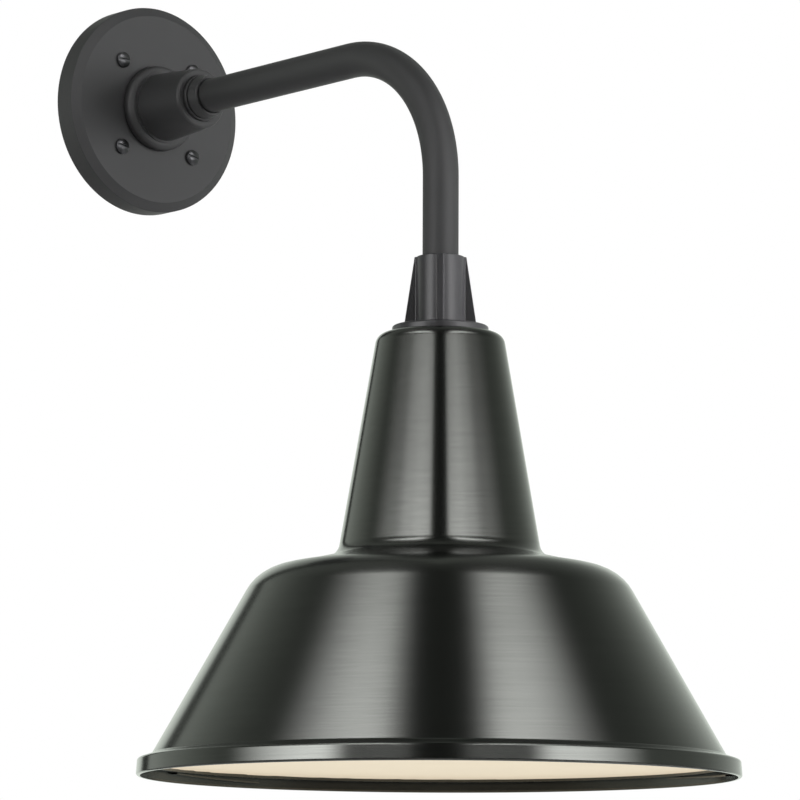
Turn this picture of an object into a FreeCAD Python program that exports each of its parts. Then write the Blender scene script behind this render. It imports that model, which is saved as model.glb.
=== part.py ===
import FreeCAD, Part
import math
import os

# Outdoor barn light, millimetres. The wall is the plane Y = 0, the arm leaves it along -Y,
# and the shade hangs on a vertical axis at the arm's far end. Depths are measured from the
# wall along -Y, drops from the arm's axis along -Z.

# Layout
reach = 299.2                # wall to the shade's axis
bend_radius = 85.0           # centreline of the arm's bend
cap_drop = 133.8             # arm axis to the top of the socket cap
cap_height = 46.4            # socket cap
shade_height = 264.1         # the shade's flat top to its bottom edge
shade_drop = cap_drop + cap_height
rim_drop = shade_drop + shade_height
overrun = 1.0                # how far a cut runs past its piece
seat_gap = 0.05              # radial gap between fixed pieces that slip together
loose_gap = 0.3              # gap between pieces that move past each other

# Canopy against the wall
canopy_radius = 67.2
canopy_side = 14.8           # depth of the straight side
canopy_depth = 17.94
canopy_bevel = 5.9           # radial width of the bevel round the flat face
canopy_face_wall = 3.0
canopy_side_wall = 6.0
canopy_edge_round = 0.5
canopy_face_radius = canopy_radius - canopy_bevel
groove_width = 2.6           # gasket groove in the canopy's back rim
groove_depth = 1.6

# Mounting plate inside the canopy
plate_clear = 6.2            # radial, between the plate and the canopy's side
plate_thickness = 2.0
plate_hole_radius = 22.0
slot_pitch = 79.4            # between the slots' centres, for two screws of a wall box
slot_length = 14.0
slot_width = 4.8
screw_inset = 21.0           # the four face screws, in from the flat face's edge
first_screw_angle = 45.0
screw_count = 4
post_radius = 4.0
ground_place = 38.0          # ground screw above the centre
ground_head_radius = 4.2
ground_head_height = 2.6
ground_shank_radius = 2.0
hex_sides = 6
plate_radius = canopy_radius - canopy_side_wall - plate_clear
screw_circle_radius = canopy_face_radius - screw_inset

# Face screws, slotted
screw_head_radius = 5.0
screw_head_height = 3.2
screw_dome_share = 0.55      # of the head's height that is domed
screw_shank_radius = 2.0
screw_clear = 0.4            # radial, where a screw passes through a piece
screw_length = 13.0          # under the head
screw_slot_width = 1.5
screw_slot_depth = 1.5
screw_slot_turns = (24.0, -4.0, -16.0, -14.0)    # degrees, each slot from level

# Collar ring and hub
collar_radius = 27.7
collar_depth = 25.2
collar_low_round = 1.6
collar_high_round = 3.8
collar_step_radius = 23.2
collar_step = 0.8
hub_base_radius = 21.9
hub_tip_radius = 19.35
hub_depth = 64.7
hub_round = 2.2
spigot_radius = 14.5
spigot_depth = 10.5
hub_nut_flats = 38.0
hub_nut_thickness = 3.3
socket_depth = 1.4           # recess in the hub's end for the ferrule
socket_clear = 0.4
set_screw_depth = 44.0
set_screw_radius = 2.5
set_screw_length = 7.4
set_screw_key = 2.5          # across the flats of its key socket
set_screw_key_depth = 2.4

# Arm tube and what rides on it
tube_radius = 10.8
tube_wall = 2.0
tube_tail_depth = 7.5
tube_engagement = 26.0       # length inside the socket cap
swivel_fit = 0.07            # radial running fit of the tube in the hub
clip_width = 1.5
clip_depth = 0.6             # groove depth in the tube
clip_height = 3.0
clip_gap = 8.0
ferrule_radius = 14.9
ferrule_flange = 3.4
ferrule_neck_radius = 13.4
ferrule_neck = 1.0
ferrule_shoulder_radius = 14.0
ferrule_shoulder = 0.9
ferrule_tip_radius = 12.9
ferrule_tip = 6.5
ferrule_mouth = 0.6          # radial gap at the ferrule's mouth
ferrule_mouth_depth = 2.0
ferrule_round = 0.5
bushing_wall = 1.6
bushing_length = 8.0
bushing_lip = 1.2
bushing_lip_rise = 1.4

# Leads inside the arm
lead_radius = 1.15
lead_spread = 1.6            # live and neutral, left and right of the arm's middle
lead_rise = 0.9              # live and neutral, towards the outside of the bend
ground_lead_rise = -1.9
lead_end_gap = 0.3           # trimmed just inside the mounting plate's hole
lead_bend_radius = 3.5

# Socket cap
barrel_radius = 14.4
cap_flange_radius = 28.8
cap_flange = 4.4
cap_flange_round = 1.2
fin_count = 4
fin_thickness = 3.4
fin_top_radius = 15.5
fin_foot_radius = 21.7
fin_top_step = 0.1           # fin tops below the barrel's top
fin_angle = 41.0             # of the first fin, from the arm's direction
fin_root_round = 0.9
cap_gasket_inner = 21.0
cap_gasket_width = 5.0
cap_gasket_thickness = 1.2

# Nipple and its fixings
nipple_radius = 4.9
nipple_bore_radius = 3.7
washer_radius = 22.0
washer_thickness = 1.5
nipple_nut_flats = 14.5
nipple_nut_thickness = 3.5

# Shade, outer skin; each bend has its radius
sheet = 1.2
shade_top_radius = 37.7
shade_top_round = 7.2
neck_height = 133.1
neck_flare = 22.78           # how much wider the neck's foot is than its top
neck_foot_round = 9.5
shoulder_width = 20.8        # the shoulder's inner, steeper part
shoulder_fall = 4.8
shoulder_round = 150.0
brow_width = 26.36           # the shoulder's outer, flatter part
brow_fall = 4.84
brow_round = 29.0
seam_fall = 2.8              # the brow's corner to the seam between the shade's neck and skirt
skirt_flare = 61.49
skirt_foot_round = 1.5
shelf_width = 8.27           # the step between the skirt and the rim band
shelf_fall = 2.66
band_top_round = 1.7
band_height = 9.77
band_flare = 0.7
band_foot_round = 1.3
hem_width = 2.4              # bottom edge turned inwards

# Lens, its gasket and the turning ring that holds it
lens_thickness = 2.0
lens_room = 0.623            # between the shelf's underside and the lens
lens_clear = 0.4             # radial, between the lens and the ring's wall
lens_gasket_width = 2.0
lens_gasket_inset = 0.6      # from the lens's edge
ring_room = 3.6              # radial, between the ring and the rim band's narrowest place
ring_width = 3.6
ring_wall = 1.2
ring_floor = 1.5
ring_rim_height = 1.4
lug_count = 3
lug_reach = 2.6
lug_span = 8.0               # degrees
lug_first_angle = -131.0     # of the first lug, from +X
lug_thickness = 1.4
ring_turn = 24.0             # degrees from locked to free
ring_lead = 30.0             # drop in one whole turn
ramp_thickness = 1.0
ramp_gap = 0.4               # radial, beside the ring's wall
stop_span = 2.0              # degrees

# Lampholder
holder_room = 23.8           # the shade's flat top to the lampholder's cap
holder_cap_radius = 18.6
holder_cap_wall = 1.0
holder_cap_height = 13.0
porcelain_inset = 7.5        # the cap's top to the porcelain
porcelain_floor = 14.0       # above the shell
porcelain_neck_radius = 17.5
porcelain_radius = 20.2
porcelain_lip_radius = 22.0
porcelain_lip = 9.0
lamp_room = 2.0              # the porcelain's foot to the lamp's shoulder
porcelain_round = 1.5
shell_bore_radius = 14.25
shell_wall = 0.55
shell_recess = 4.0           # from the porcelain's foot
contact_radius = 5.0
contact_thickness = 1.0
contact_stem_radius = 1.6
contact_rivet_place = 2.8    # beside the shade's axis, clear of the leads
terminal_radius = 2.4
terminal_height = 4.4
terminal_place = 12.6
terminal_hole_depth = 6.0

# Lamp
lamp_contact_gap = 0.5
eyelet_radius = 4.6
eyelet_height = 1.0
insulator_height = 3.0
insulator_radius = 11.0
lamp_base_radius = 13.1
lamp_base_length = 24.0
lamp_neck_radius = 12.9
lamp_neck = 9.0
lamp_body_radius = 29.0
lamp_body_length = 40.0
dome_radius = 29.4
dome_wall = 1.2
lamp_body_round = 3.0

holder_cap_drop = shade_drop + holder_room
porcelain_drop = holder_cap_drop + porcelain_inset
shell_top_drop = porcelain_drop + porcelain_floor
lamp_contact_drop = shell_top_drop + contact_thickness + lamp_contact_gap
lamp_base_drop = lamp_contact_drop + eyelet_height + insulator_height
lamp_body_drop = lamp_base_drop + lamp_base_length
porcelain_foot_drop = lamp_body_drop + lamp_neck - lamp_room
shell_foot_drop = porcelain_foot_drop - shell_recess

X_AXIS = FreeCAD.Vector(1, 0, 0)
Y_AXIS = FreeCAD.Vector(0, 1, 0)
Z_AXIS = FreeCAD.Vector(0, 0, 1)
ORIGIN = FreeCAD.Vector(0, 0, 0)
SHADE_AXIS = FreeCAD.Vector(0, -reach, 0)
quarter = 90.0
full = 360.0


def at_wall(radius, depth):
    """A point beside the arm's horizontal axis."""
    return FreeCAD.Vector(radius, -depth, 0)


def at_shade(radius, drop):
    """A point beside the shade's vertical axis."""
    return FreeCAD.Vector(radius, -reach, -drop)


def corner(before, here, after, radius):
    """Start, middle and end of the arc that rounds a corner, in the outline's plane."""
    to_before = (before[0] - here[0], before[1] - here[1])
    to_after = (after[0] - here[0], after[1] - here[1])
    length_before = math.hypot(*to_before)
    length_after = math.hypot(*to_after)
    u = (to_before[0] / length_before, to_before[1] / length_before)
    w = (to_after[0] / length_after, to_after[1] / length_after)
    half = math.acos(u[0] * w[0] + u[1] * w[1]) / 2
    tangent = radius / math.tan(half)
    bisector = (u[0] + w[0], u[1] + w[1])
    size = math.hypot(*bisector)
    away = radius / math.sin(half) - radius
    start = (here[0] + u[0] * tangent, here[1] + u[1] * tangent)
    middle = (here[0] + bisector[0] / size * away, here[1] + bisector[1] / size * away)
    end = (here[0] + w[0] * tangent, here[1] + w[1] * tangent)
    return start, middle, end


def outline_face(points, place):
    """A flat face in a closed outline of (across, along) or (across, along, round) points."""
    edges = []
    spots = []
    count = len(points)
    for index, point in enumerate(points):
        if len(point) == 3 and point[2] > 0:
            spots.append(corner(points[index - 1], point, points[(index + 1) % count], point[2]))
        else:
            spots.append((point[:2],))
    for index, spot in enumerate(spots):
        if len(spot) == 3:
            edges.append(Part.Arc(*[place(*step) for step in spot]).toShape())
        start = place(*spot[-1])
        end = place(*spots[(index + 1) % count][0])
        edges.append(Part.LineSegment(start, end).toShape())
    return Part.Face(Part.Wire(edges))


def turned_on_arm(points):
    """A turned piece around the arm's horizontal axis."""
    return outline_face(points, at_wall).revolve(ORIGIN, Y_AXIS, full)


def turned_on_shade(points):
    """A turned piece around the shade's vertical axis."""
    return outline_face(points, at_shade).revolve(SHADE_AXIS, Z_AXIS, full)


def sheet_outline(path, thickness):
    """The closed section of a sheet: an open outer path, and the same path moved inwards."""
    directions = []
    for here, after in zip(path, path[1:]):
        length = math.hypot(after[0] - here[0], after[1] - here[1])
        directions.append(((after[0] - here[0]) / length, (after[1] - here[1]) / length))
    first = directions[0]
    inner = [(path[0][0] - first[1] * thickness, path[0][1] + first[0] * thickness)]
    for index in range(1, len(path) - 1):
        before = directions[index - 1]
        after = directions[index]
        turn = before[0] * after[1] - before[1] * after[0]
        mean = (-before[1] - after[1], before[0] + after[0])
        scale = thickness * 2 / (mean[0] ** 2 + mean[1] ** 2)
        radius = path[index][2] - math.copysign(thickness, turn)
        inner.append((path[index][0] + mean[0] * scale, path[index][1] + mean[1] * scale, max(radius, 0)))
    last = directions[-1]
    inner.append((path[-1][0] - last[1] * thickness, path[-1][1] + last[0] * thickness))
    return list(path) + inner[::-1]


def rod(radius, start, direction, length):
    """A round bar."""
    return Part.makeCylinder(radius, length, start, direction)


def ring_sector(inner, outer, drop, height, middle_angle, span):
    """Part of a flat ring around the shade's axis; its top lies at the drop given."""
    foot = FreeCAD.Vector(0, -reach, -drop - height)
    sector = Part.makeCylinder(outer, height, foot, Z_AXIS, span)
    core = rod(inner, foot - Z_AXIS * overrun, Z_AXIS, height + 2 * overrun)
    sector = sector.cut(core)
    sector.rotate(SHADE_AXIS, Z_AXIS, middle_angle - span / 2)
    return sector


def hexagon(flats, thickness, centre, direction):
    """A hexagonal bar, by its size across the flats."""
    corner_distance = flats / 2 / math.cos(math.pi / hex_sides)
    points = []
    for index in range(hex_sides + 1):
        angle = 2 * math.pi * index / hex_sides
        points.append(FreeCAD.Vector(corner_distance * math.cos(angle), corner_distance * math.sin(angle), 0))
    bar = Part.Face(Part.makePolygon(points)).extrude(Z_AXIS * thickness)
    bar.Placement = FreeCAD.Placement(centre, FreeCAD.Rotation(Z_AXIS, direction))
    return bar


def screw_places():
    """Centres of the face screws on the wall plane."""
    places = []
    for index in range(screw_count):
        angle = math.radians(first_screw_angle + index * full / screw_count)
        places.append(FreeCAD.Vector(math.cos(angle), 0, math.sin(angle)) * screw_circle_radius)
    return places


def bent_rod(radius, side, rise, start_depth, end_drop):
    """A round bar that follows the arm: level from the wall, round the bend, then down."""
    bend_depth = reach - bend_radius
    start = FreeCAD.Vector(side, -start_depth, rise)
    bend_start = FreeCAD.Vector(side, -bend_depth, rise)
    bend_centre = FreeCAD.Vector(side, -bend_depth, -bend_radius)
    bend_end = FreeCAD.Vector(side, -reach - rise, -bend_radius)
    level = rod(radius, start, -Y_AXIS, bend_depth - start_depth)
    disc = Part.Face(Part.Wire([Part.Circle(bend_start, Y_AXIS, radius).toShape()]))
    bend = disc.revolve(bend_centre, X_AXIS, quarter)
    down = rod(radius, bend_end, -Z_AXIS, end_drop - bend_radius)
    return level.fuse([bend, down]).removeSplitter()


# Pieces on the wall


def backplate():
    """Cast canopy: a shallow cover with a bevelled edge, open to the wall."""
    cavity_radius = canopy_radius - canopy_side_wall
    cavity_depth = canopy_depth - canopy_face_wall
    body = turned_on_arm([
        (cavity_radius, 0),
        (canopy_radius, 0),
        (canopy_radius, canopy_side, canopy_edge_round),
        (canopy_face_radius, canopy_depth, canopy_edge_round),
        (spigot_radius + seat_gap, canopy_depth),
        (spigot_radius + seat_gap, cavity_depth),
        (cavity_radius, cavity_depth, canopy_edge_round),
    ])
    groove_middle = canopy_radius - canopy_side_wall / 2
    groove = turned_on_arm([
        (groove_middle - groove_width / 2, -overrun),
        (groove_middle + groove_width / 2, -overrun),
        (groove_middle + groove_width / 2, groove_depth),
        (groove_middle - groove_width / 2, groove_depth),
    ])
    body = body.cut(groove)
    for place in screw_places():
        body = body.cut(rod(screw_shank_radius + screw_clear, place, -Y_AXIS, canopy_depth + overrun))
    return body


def wall_gasket():
    """Rubber ring in the groove of the canopy's back rim."""
    middle = canopy_radius - canopy_side_wall / 2
    half_width = groove_width / 2 - seat_gap
    return turned_on_arm([
        (middle - half_width, 0),
        (middle + half_width, 0),
        (middle + half_width, groove_depth),
        (middle - half_width, groove_depth),
    ])


def mounting_plate():
    """Steel disc that is screwed to the wall box and carries the four posts."""
    plate = rod(plate_radius, ORIGIN, -Y_AXIS, plate_thickness)
    cuts = [rod(plate_hole_radius, Y_AXIS * overrun, -Y_AXIS, plate_thickness + 2 * overrun)]
    cuts.append(rod(ground_shank_radius + seat_gap, FreeCAD.Vector(0, overrun, ground_place),
                    -Y_AXIS, plate_thickness + 2 * overrun))
    straight = slot_length - slot_width
    for side in (-1, 1):
        middle = side * slot_pitch / 2
        low = FreeCAD.Vector(middle - straight / 2, -plate_thickness - overrun, -slot_width / 2)
        cuts.append(Part.makeBox(straight, plate_thickness + 2 * overrun, slot_width, low))
        for end in (-1, 1):
            place = FreeCAD.Vector(middle + end * straight / 2, overrun, 0)
            cuts.append(rod(slot_width / 2, place, -Y_AXIS, plate_thickness + 2 * overrun))
    return plate.cut(cuts).removeSplitter()


def posts():
    """Four tapped posts between the mounting plate and the canopy's face."""
    length = canopy_depth - canopy_face_wall - plate_thickness
    solids = []
    for place in screw_places():
        foot = place - Y_AXIS * plate_thickness
        post = rod(post_radius, foot, -Y_AXIS, length)
        solids.append(post.cut(rod(screw_shank_radius + seat_gap, foot, -Y_AXIS, length)))
    return Part.makeCompound(solids)


def ground_screw():
    """Hexagon screw on the mounting plate for the box's earth wire."""
    place = FreeCAD.Vector(0, 0, ground_place)
    shank = rod(ground_shank_radius, place, -Y_AXIS, plate_thickness)
    head = hexagon(2 * ground_head_radius * math.cos(math.pi / hex_sides), ground_head_height,
                   place - Y_AXIS * plate_thickness, -Y_AXIS)
    return shank.fuse(head)


def face_screw(place, slot_turn):
    """Slotted round-head screw through the canopy's face into a post."""
    dome = screw_head_height * screw_dome_share
    straight = canopy_depth + screw_head_height - dome
    dome_sphere = (screw_head_radius ** 2 + dome ** 2) / (2 * dome)
    rim = at_wall(screw_head_radius, straight)
    crown = at_wall(0, straight + dome)
    half_angle = math.asin(screw_head_radius / dome_sphere) / 2
    middle = at_wall(dome_sphere * math.sin(half_angle),
                     straight + dome - dome_sphere * (1 - math.cos(half_angle)))
    foot = at_wall(0, canopy_depth - screw_length)
    shank_foot = at_wall(screw_shank_radius, canopy_depth - screw_length)
    shank_top = at_wall(screw_shank_radius, canopy_depth)
    head_foot = at_wall(screw_head_radius, canopy_depth)
    corners = [crown, foot, shank_foot, shank_top, head_foot, rim]
    edges = [Part.LineSegment(here, after).toShape() for here, after in zip(corners, corners[1:])]
    edges.append(Part.Arc(rim, middle, crown).toShape())
    screw = Part.Face(Part.Wire(edges)).revolve(ORIGIN, Y_AXIS, full)
    slot_floor = canopy_depth + screw_head_height - screw_slot_depth
    slot = Part.makeBox(2 * screw_head_radius + 2 * overrun, screw_slot_depth + overrun, screw_slot_width,
                        FreeCAD.Vector(-screw_head_radius - overrun, -slot_floor - screw_slot_depth - overrun,
                                       -screw_slot_width / 2))
    slot.rotate(ORIGIN, Y_AXIS, -slot_turn)
    screw = screw.cut(slot)
    screw.translate(place)
    return screw


def collar_ring():
    """Rounded ring between the canopy's face and the hub."""
    inner = spigot_radius + seat_gap
    return turned_on_arm([
        (inner, canopy_depth),
        (collar_radius, canopy_depth, collar_low_round),
        (collar_radius, collar_depth, collar_high_round),
        (collar_step_radius, collar_depth),
        (collar_step_radius, collar_depth + collar_step),
        (inner, collar_depth + collar_step),
    ])


def hub():
    """Turned hub: a spigot through the canopy, a tapered nose and a bore for the arm."""
    bore = tube_radius + swivel_fit
    base = collar_depth + collar_step
    socket = ferrule_radius + socket_clear
    body = turned_on_arm([
        (bore, spigot_depth),
        (spigot_radius, spigot_depth),
        (spigot_radius, base),
        (hub_base_radius, base),
        (hub_tip_radius, hub_depth, hub_round),
        (socket, hub_depth),
        (socket, hub_depth - socket_depth),
        (bore, hub_depth - socket_depth),
    ])
    hole = rod(set_screw_radius + seat_gap, FreeCAD.Vector(0, -set_screw_depth, 0), X_AXIS,
               hub_base_radius + overrun)
    return body.cut(hole)


def hub_nut():
    """Flat hexagon nut that pulls the hub onto the canopy from inside."""
    depth = canopy_depth - canopy_face_wall
    start = FreeCAD.Vector(0, -depth, 0)
    nut = hexagon(hub_nut_flats, hub_nut_thickness, start, Y_AXIS)
    return nut.cut(rod(spigot_radius + seat_gap, start - Y_AXIS * overrun, Y_AXIS, canopy_depth))


def set_screw():
    """Grub screw in the hub that holds the arm's turn, just clear of the tube."""
    start = FreeCAD.Vector(tube_radius + loose_gap, -set_screw_depth, 0)
    body = rod(set_screw_radius, start, X_AXIS, set_screw_length)
    key_start = start + X_AXIS * (set_screw_length - set_screw_key_depth)
    return body.cut(hexagon(set_screw_key, set_screw_key_depth + overrun, key_start, X_AXIS))


# Pieces on the arm


def arm_tube():
    """Bent steel tube with a clip groove near its inner end."""
    end_drop = cap_drop + tube_engagement
    tube = bent_rod(tube_radius, 0, 0, tube_tail_depth, end_drop)
    tube = tube.cut(bent_rod(tube_radius - tube_wall, 0, 0, tube_tail_depth - overrun, end_drop + overrun))
    groove_depth_from_wall = spigot_depth - loose_gap - clip_width
    groove = turned_on_arm([
        (tube_radius - clip_depth, groove_depth_from_wall),
        (tube_radius + overrun, groove_depth_from_wall),
        (tube_radius + overrun, groove_depth_from_wall + clip_width),
        (tube_radius - clip_depth, groove_depth_from_wall + clip_width),
    ])
    return tube.cut(groove)


def retaining_clip():
    """Split spring ring in the tube's groove; it stops the arm from pulling out of the hub."""
    inner = tube_radius - clip_depth + seat_gap
    start = spigot_depth - loose_gap - clip_width
    clip = turned_on_arm([
        (inner, start),
        (inner + clip_height, start),
        (inner + clip_height, start + clip_width),
        (inner, start + clip_width),
    ])
    gap_low = FreeCAD.Vector(-clip_gap / 2, -spigot_depth, 0)
    return clip.cut(Part.makeBox(clip_gap, spigot_depth, inner + clip_height + overrun, gap_low))


def arm_ferrule():
    """Stepped ring on the tube that closes the hub's end."""
    bore = tube_radius + seat_gap
    start = hub_depth - socket_depth + loose_gap
    flange_end = start + ferrule_flange
    neck_end = flange_end + ferrule_neck
    shoulder_end = neck_end + ferrule_shoulder
    tip_end = shoulder_end + ferrule_tip
    mouth = tube_radius + ferrule_mouth
    return turned_on_arm([
        (bore, start),
        (ferrule_radius, start, ferrule_round),
        (ferrule_radius, flange_end, ferrule_round),
        (ferrule_neck_radius, flange_end),
        (ferrule_neck_radius, neck_end),
        (ferrule_shoulder_radius, neck_end, ferrule_round / 2),
        (ferrule_shoulder_radius, shoulder_end),
        (ferrule_tip_radius, tip_end, ferrule_round),
        (mouth, tip_end),
        (mouth, tip_end - ferrule_mouth_depth),
        (bore, tip_end - ferrule_mouth_depth),
    ])


def tube_bushing():
    """Plastic bushing that guards the leads at the tube's inner end."""
    outer = tube_radius - tube_wall - seat_gap
    lip = outer + bushing_lip_rise
    return turned_on_arm([
        (outer - bushing_wall, tube_tail_depth - bushing_lip),
        (lip, tube_tail_depth - bushing_lip),
        (lip, tube_tail_depth),
        (outer, tube_tail_depth),
        (outer, tube_tail_depth + bushing_length),
        (outer - bushing_wall, tube_tail_depth + bushing_length),
    ])


def side_lead(side):
    """Live or neutral lead, from the wall box through the arm into the lampholder."""
    return bent_rod(lead_radius, side * lead_spread, lead_rise, plate_thickness + lead_end_gap,
                    porcelain_drop + terminal_hole_depth)


def lead_ground():
    """Earth lead, from the wall box through the arm to a screw under the lampholder's cap."""
    bend_drop = holder_cap_drop + holder_cap_wall
    lead = bent_rod(lead_radius, 0, ground_lead_rise, plate_thickness + lead_end_gap, bend_drop)
    bend_start = FreeCAD.Vector(0, -reach - ground_lead_rise, -bend_drop)
    bend_centre = bend_start + Y_AXIS * lead_bend_radius
    disc = Part.Face(Part.Wire([Part.Circle(bend_start, Z_AXIS, lead_radius).toShape()]))
    bend = disc.revolve(bend_centre, X_AXIS, quarter)
    end_start = bend_centre - Z_AXIS * lead_bend_radius
    run = -reach + terminal_place - terminal_radius - end_start.y
    end = rod(lead_radius, end_start, Y_AXIS, run)
    return lead.fuse([bend, end]).removeSplitter()


# Pieces at the top of the shade


def fin():
    """One fin of the socket cap, pointing along -Y, with rounded roots and a sloping edge."""
    fin_top = cap_drop + fin_top_step
    fin_foot = shade_drop - cap_flange
    half = fin_thickness / 2
    across = half + fin_root_round
    along = math.sqrt((barrel_radius + fin_root_round) ** 2 - across ** 2)
    to_barrel = barrel_radius / (barrel_radius + fin_root_round)
    inside = along * to_barrel

    def root(side):
        """Points of the arc from the barrel to the fin's flank."""
        angle = (math.pi + math.atan2(along, across) + math.pi) / 2
        barrel_point = FreeCAD.Vector(side * across * to_barrel, -inside, -fin_foot)
        middle = FreeCAD.Vector(side * (across + fin_root_round * math.cos(angle)),
                                -along - fin_root_round * math.sin(angle), -fin_foot)
        flank_point = FreeCAD.Vector(side * half, -along, -fin_foot)
        return barrel_point, middle, flank_point

    left = root(-1)
    right = root(1)
    tip_left = FreeCAD.Vector(-half, -fin_foot_radius, -fin_foot)
    tip_right = FreeCAD.Vector(half, -fin_foot_radius, -fin_foot)
    section = Part.Face(Part.Wire([
        Part.Arc(*left).toShape(),
        Part.LineSegment(left[2], tip_left).toShape(),
        Part.LineSegment(tip_left, tip_right).toShape(),
        Part.LineSegment(tip_right, right[2]).toShape(),
        Part.Arc(right[2], right[1], right[0]).toShape(),
        Part.LineSegment(right[0], left[0]).toShape(),
    ]))
    side_view = Part.Face(Part.makePolygon([
        FreeCAD.Vector(-fin_foot_radius, 0, -fin_top),
        FreeCAD.Vector(-fin_foot_radius, -fin_top_radius, -fin_top),
        FreeCAD.Vector(-fin_foot_radius, -fin_foot_radius, -fin_foot),
        FreeCAD.Vector(-fin_foot_radius, 0, -fin_foot),
        FreeCAD.Vector(-fin_foot_radius, 0, -fin_top),
    ])).extrude(X_AXIS * 2 * fin_foot_radius)
    return section.extrude(Z_AXIS * (fin_foot - fin_top)).common(side_view)


def socket_cap():
    """Finned casting between the arm and the shade."""
    tube_end_drop = cap_drop + tube_engagement
    socket_radius = tube_radius + seat_gap
    flange_top = shade_drop - cap_flange
    body = turned_on_shade([
        (socket_radius, cap_drop),
        (barrel_radius, cap_drop, ferrule_round),
        (barrel_radius, flange_top),
        (cap_flange_radius, flange_top, cap_flange_round),
        (cap_flange_radius, shade_drop),
        (nipple_radius + seat_gap, shade_drop),
        (nipple_radius + seat_gap, tube_end_drop),
        (socket_radius, tube_end_drop),
    ])
    for index in range(fin_count):
        turned = fin()
        turned.rotate(ORIGIN, Z_AXIS, -fin_angle + index * full / fin_count)
        turned.translate(SHADE_AXIS)
        body = body.fuse(turned)
    body = body.removeSplitter()
    groove = turned_on_shade([
        (cap_gasket_inner, shade_drop - cap_gasket_thickness),
        (cap_gasket_inner + cap_gasket_width, shade_drop - cap_gasket_thickness),
        (cap_gasket_inner + cap_gasket_width, shade_drop + overrun),
        (cap_gasket_inner, shade_drop + overrun),
    ])
    return body.cut(groove)


def cap_gasket():
    """Flat rubber ring in the cap's underside, on the shade's top."""
    return turned_on_shade([
        (cap_gasket_inner + seat_gap, shade_drop - cap_gasket_thickness),
        (cap_gasket_inner + cap_gasket_width - seat_gap, shade_drop - cap_gasket_thickness),
        (cap_gasket_inner + cap_gasket_width - seat_gap, shade_drop),
        (cap_gasket_inner + seat_gap, shade_drop),
    ])


def skirt_foot_radius():
    """Radius of the skirt where it meets the rim's shelf."""
    return brow_corner()[0] + skirt_flare


def band_top_radius():
    """Radius of the rim band's top edge."""
    return skirt_foot_radius() + shelf_width


def band_top_drop():
    """Drop of the rim band's top edge."""
    return rim_drop - band_height


def skirt_foot_drop():
    """Drop of the skirt where it meets the rim's shelf."""
    return band_top_drop() - shelf_fall


def brow_corner():
    """Radius and drop of the corner between the shoulder and the skirt."""
    return (shade_top_radius + neck_flare + shoulder_width + brow_width,
            shade_drop + neck_height + shoulder_fall + brow_fall)


def shade_shell():
    """The whole spun skin: neck cone, sloping shoulder, skirt cone, and a stepped rim band."""
    neck_foot = (shade_top_radius + neck_flare, shade_drop + neck_height)
    shoulder = (neck_foot[0] + shoulder_width, neck_foot[1] + shoulder_fall)
    skin = [
        (nipple_radius + screw_clear, shade_drop),
        (shade_top_radius, shade_drop, shade_top_round),
        (*neck_foot, neck_foot_round),
        (*shoulder, shoulder_round),
        (*brow_corner(), brow_round),
        (skirt_foot_radius(), skirt_foot_drop(), skirt_foot_round),
        (band_top_radius(), band_top_drop(), band_top_round),
        (band_top_radius() + band_flare, rim_drop, band_foot_round),
        (band_top_radius() + band_flare - hem_width, rim_drop),
    ]
    return turned_on_shade(sheet_outline(skin, sheet))


def above_seam():
    """Everything inside the shade's width that lies above the seam."""
    return rod(band_top_radius() + band_flare + overrun, at_shade(0, brow_corner()[1] + seam_fall), Z_AXIS,
               brow_corner()[1] + seam_fall)


def shade_neck():
    """Spun neck with its shoulder, down to the seam."""
    return shade_shell().common(above_seam())


def shade_skirt():
    """Spun skirt with its stepped rim band, from the seam down."""
    return shade_shell().cut(above_seam())


def nipple():
    """Threaded pipe that joins the cap, the shade and the lampholder; the leads pass inside."""
    top = cap_drop + tube_engagement
    foot = holder_cap_drop + holder_cap_wall
    return turned_on_shade([
        (nipple_bore_radius, top),
        (nipple_radius, top),
        (nipple_radius, foot),
        (nipple_bore_radius, foot),
    ])


def shade_washer():
    """Steel washer under the shade's top."""
    top = shade_drop + sheet
    return turned_on_shade([
        (nipple_radius + seat_gap, top),
        (washer_radius, top),
        (washer_radius, top + washer_thickness),
        (nipple_radius + seat_gap, top + washer_thickness),
    ])


def nut_on_nipple(drop):
    """Hexagon nut on the nipple, with its top at the drop given."""
    nut = hexagon(nipple_nut_flats, nipple_nut_thickness, at_shade(0, drop), -Z_AXIS)
    bore = rod(nipple_radius + seat_gap, at_shade(0, drop - overrun), -Z_AXIS,
               nipple_nut_thickness + 2 * overrun)
    return nut.cut(bore)


# Lampholder


def lampholder_cap():
    """Pressed metal cup on the nipple that carries the lampholder."""
    wall_inside = holder_cap_radius - holder_cap_wall
    return turned_on_shade([
        (nipple_radius + seat_gap, holder_cap_drop),
        (holder_cap_radius, holder_cap_drop, holder_cap_wall),
        (holder_cap_radius, holder_cap_drop + holder_cap_height),
        (wall_inside, holder_cap_drop + holder_cap_height),
        (wall_inside, holder_cap_drop + holder_cap_wall),
        (nipple_radius + seat_gap, holder_cap_drop + holder_cap_wall),
    ])


def ground_terminal():
    """Screw under the cup's top for the earth lead."""
    place = FreeCAD.Vector(0, -reach + terminal_place, -holder_cap_drop - holder_cap_wall)
    return rod(terminal_radius, place, -Z_AXIS, terminal_height)


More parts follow.
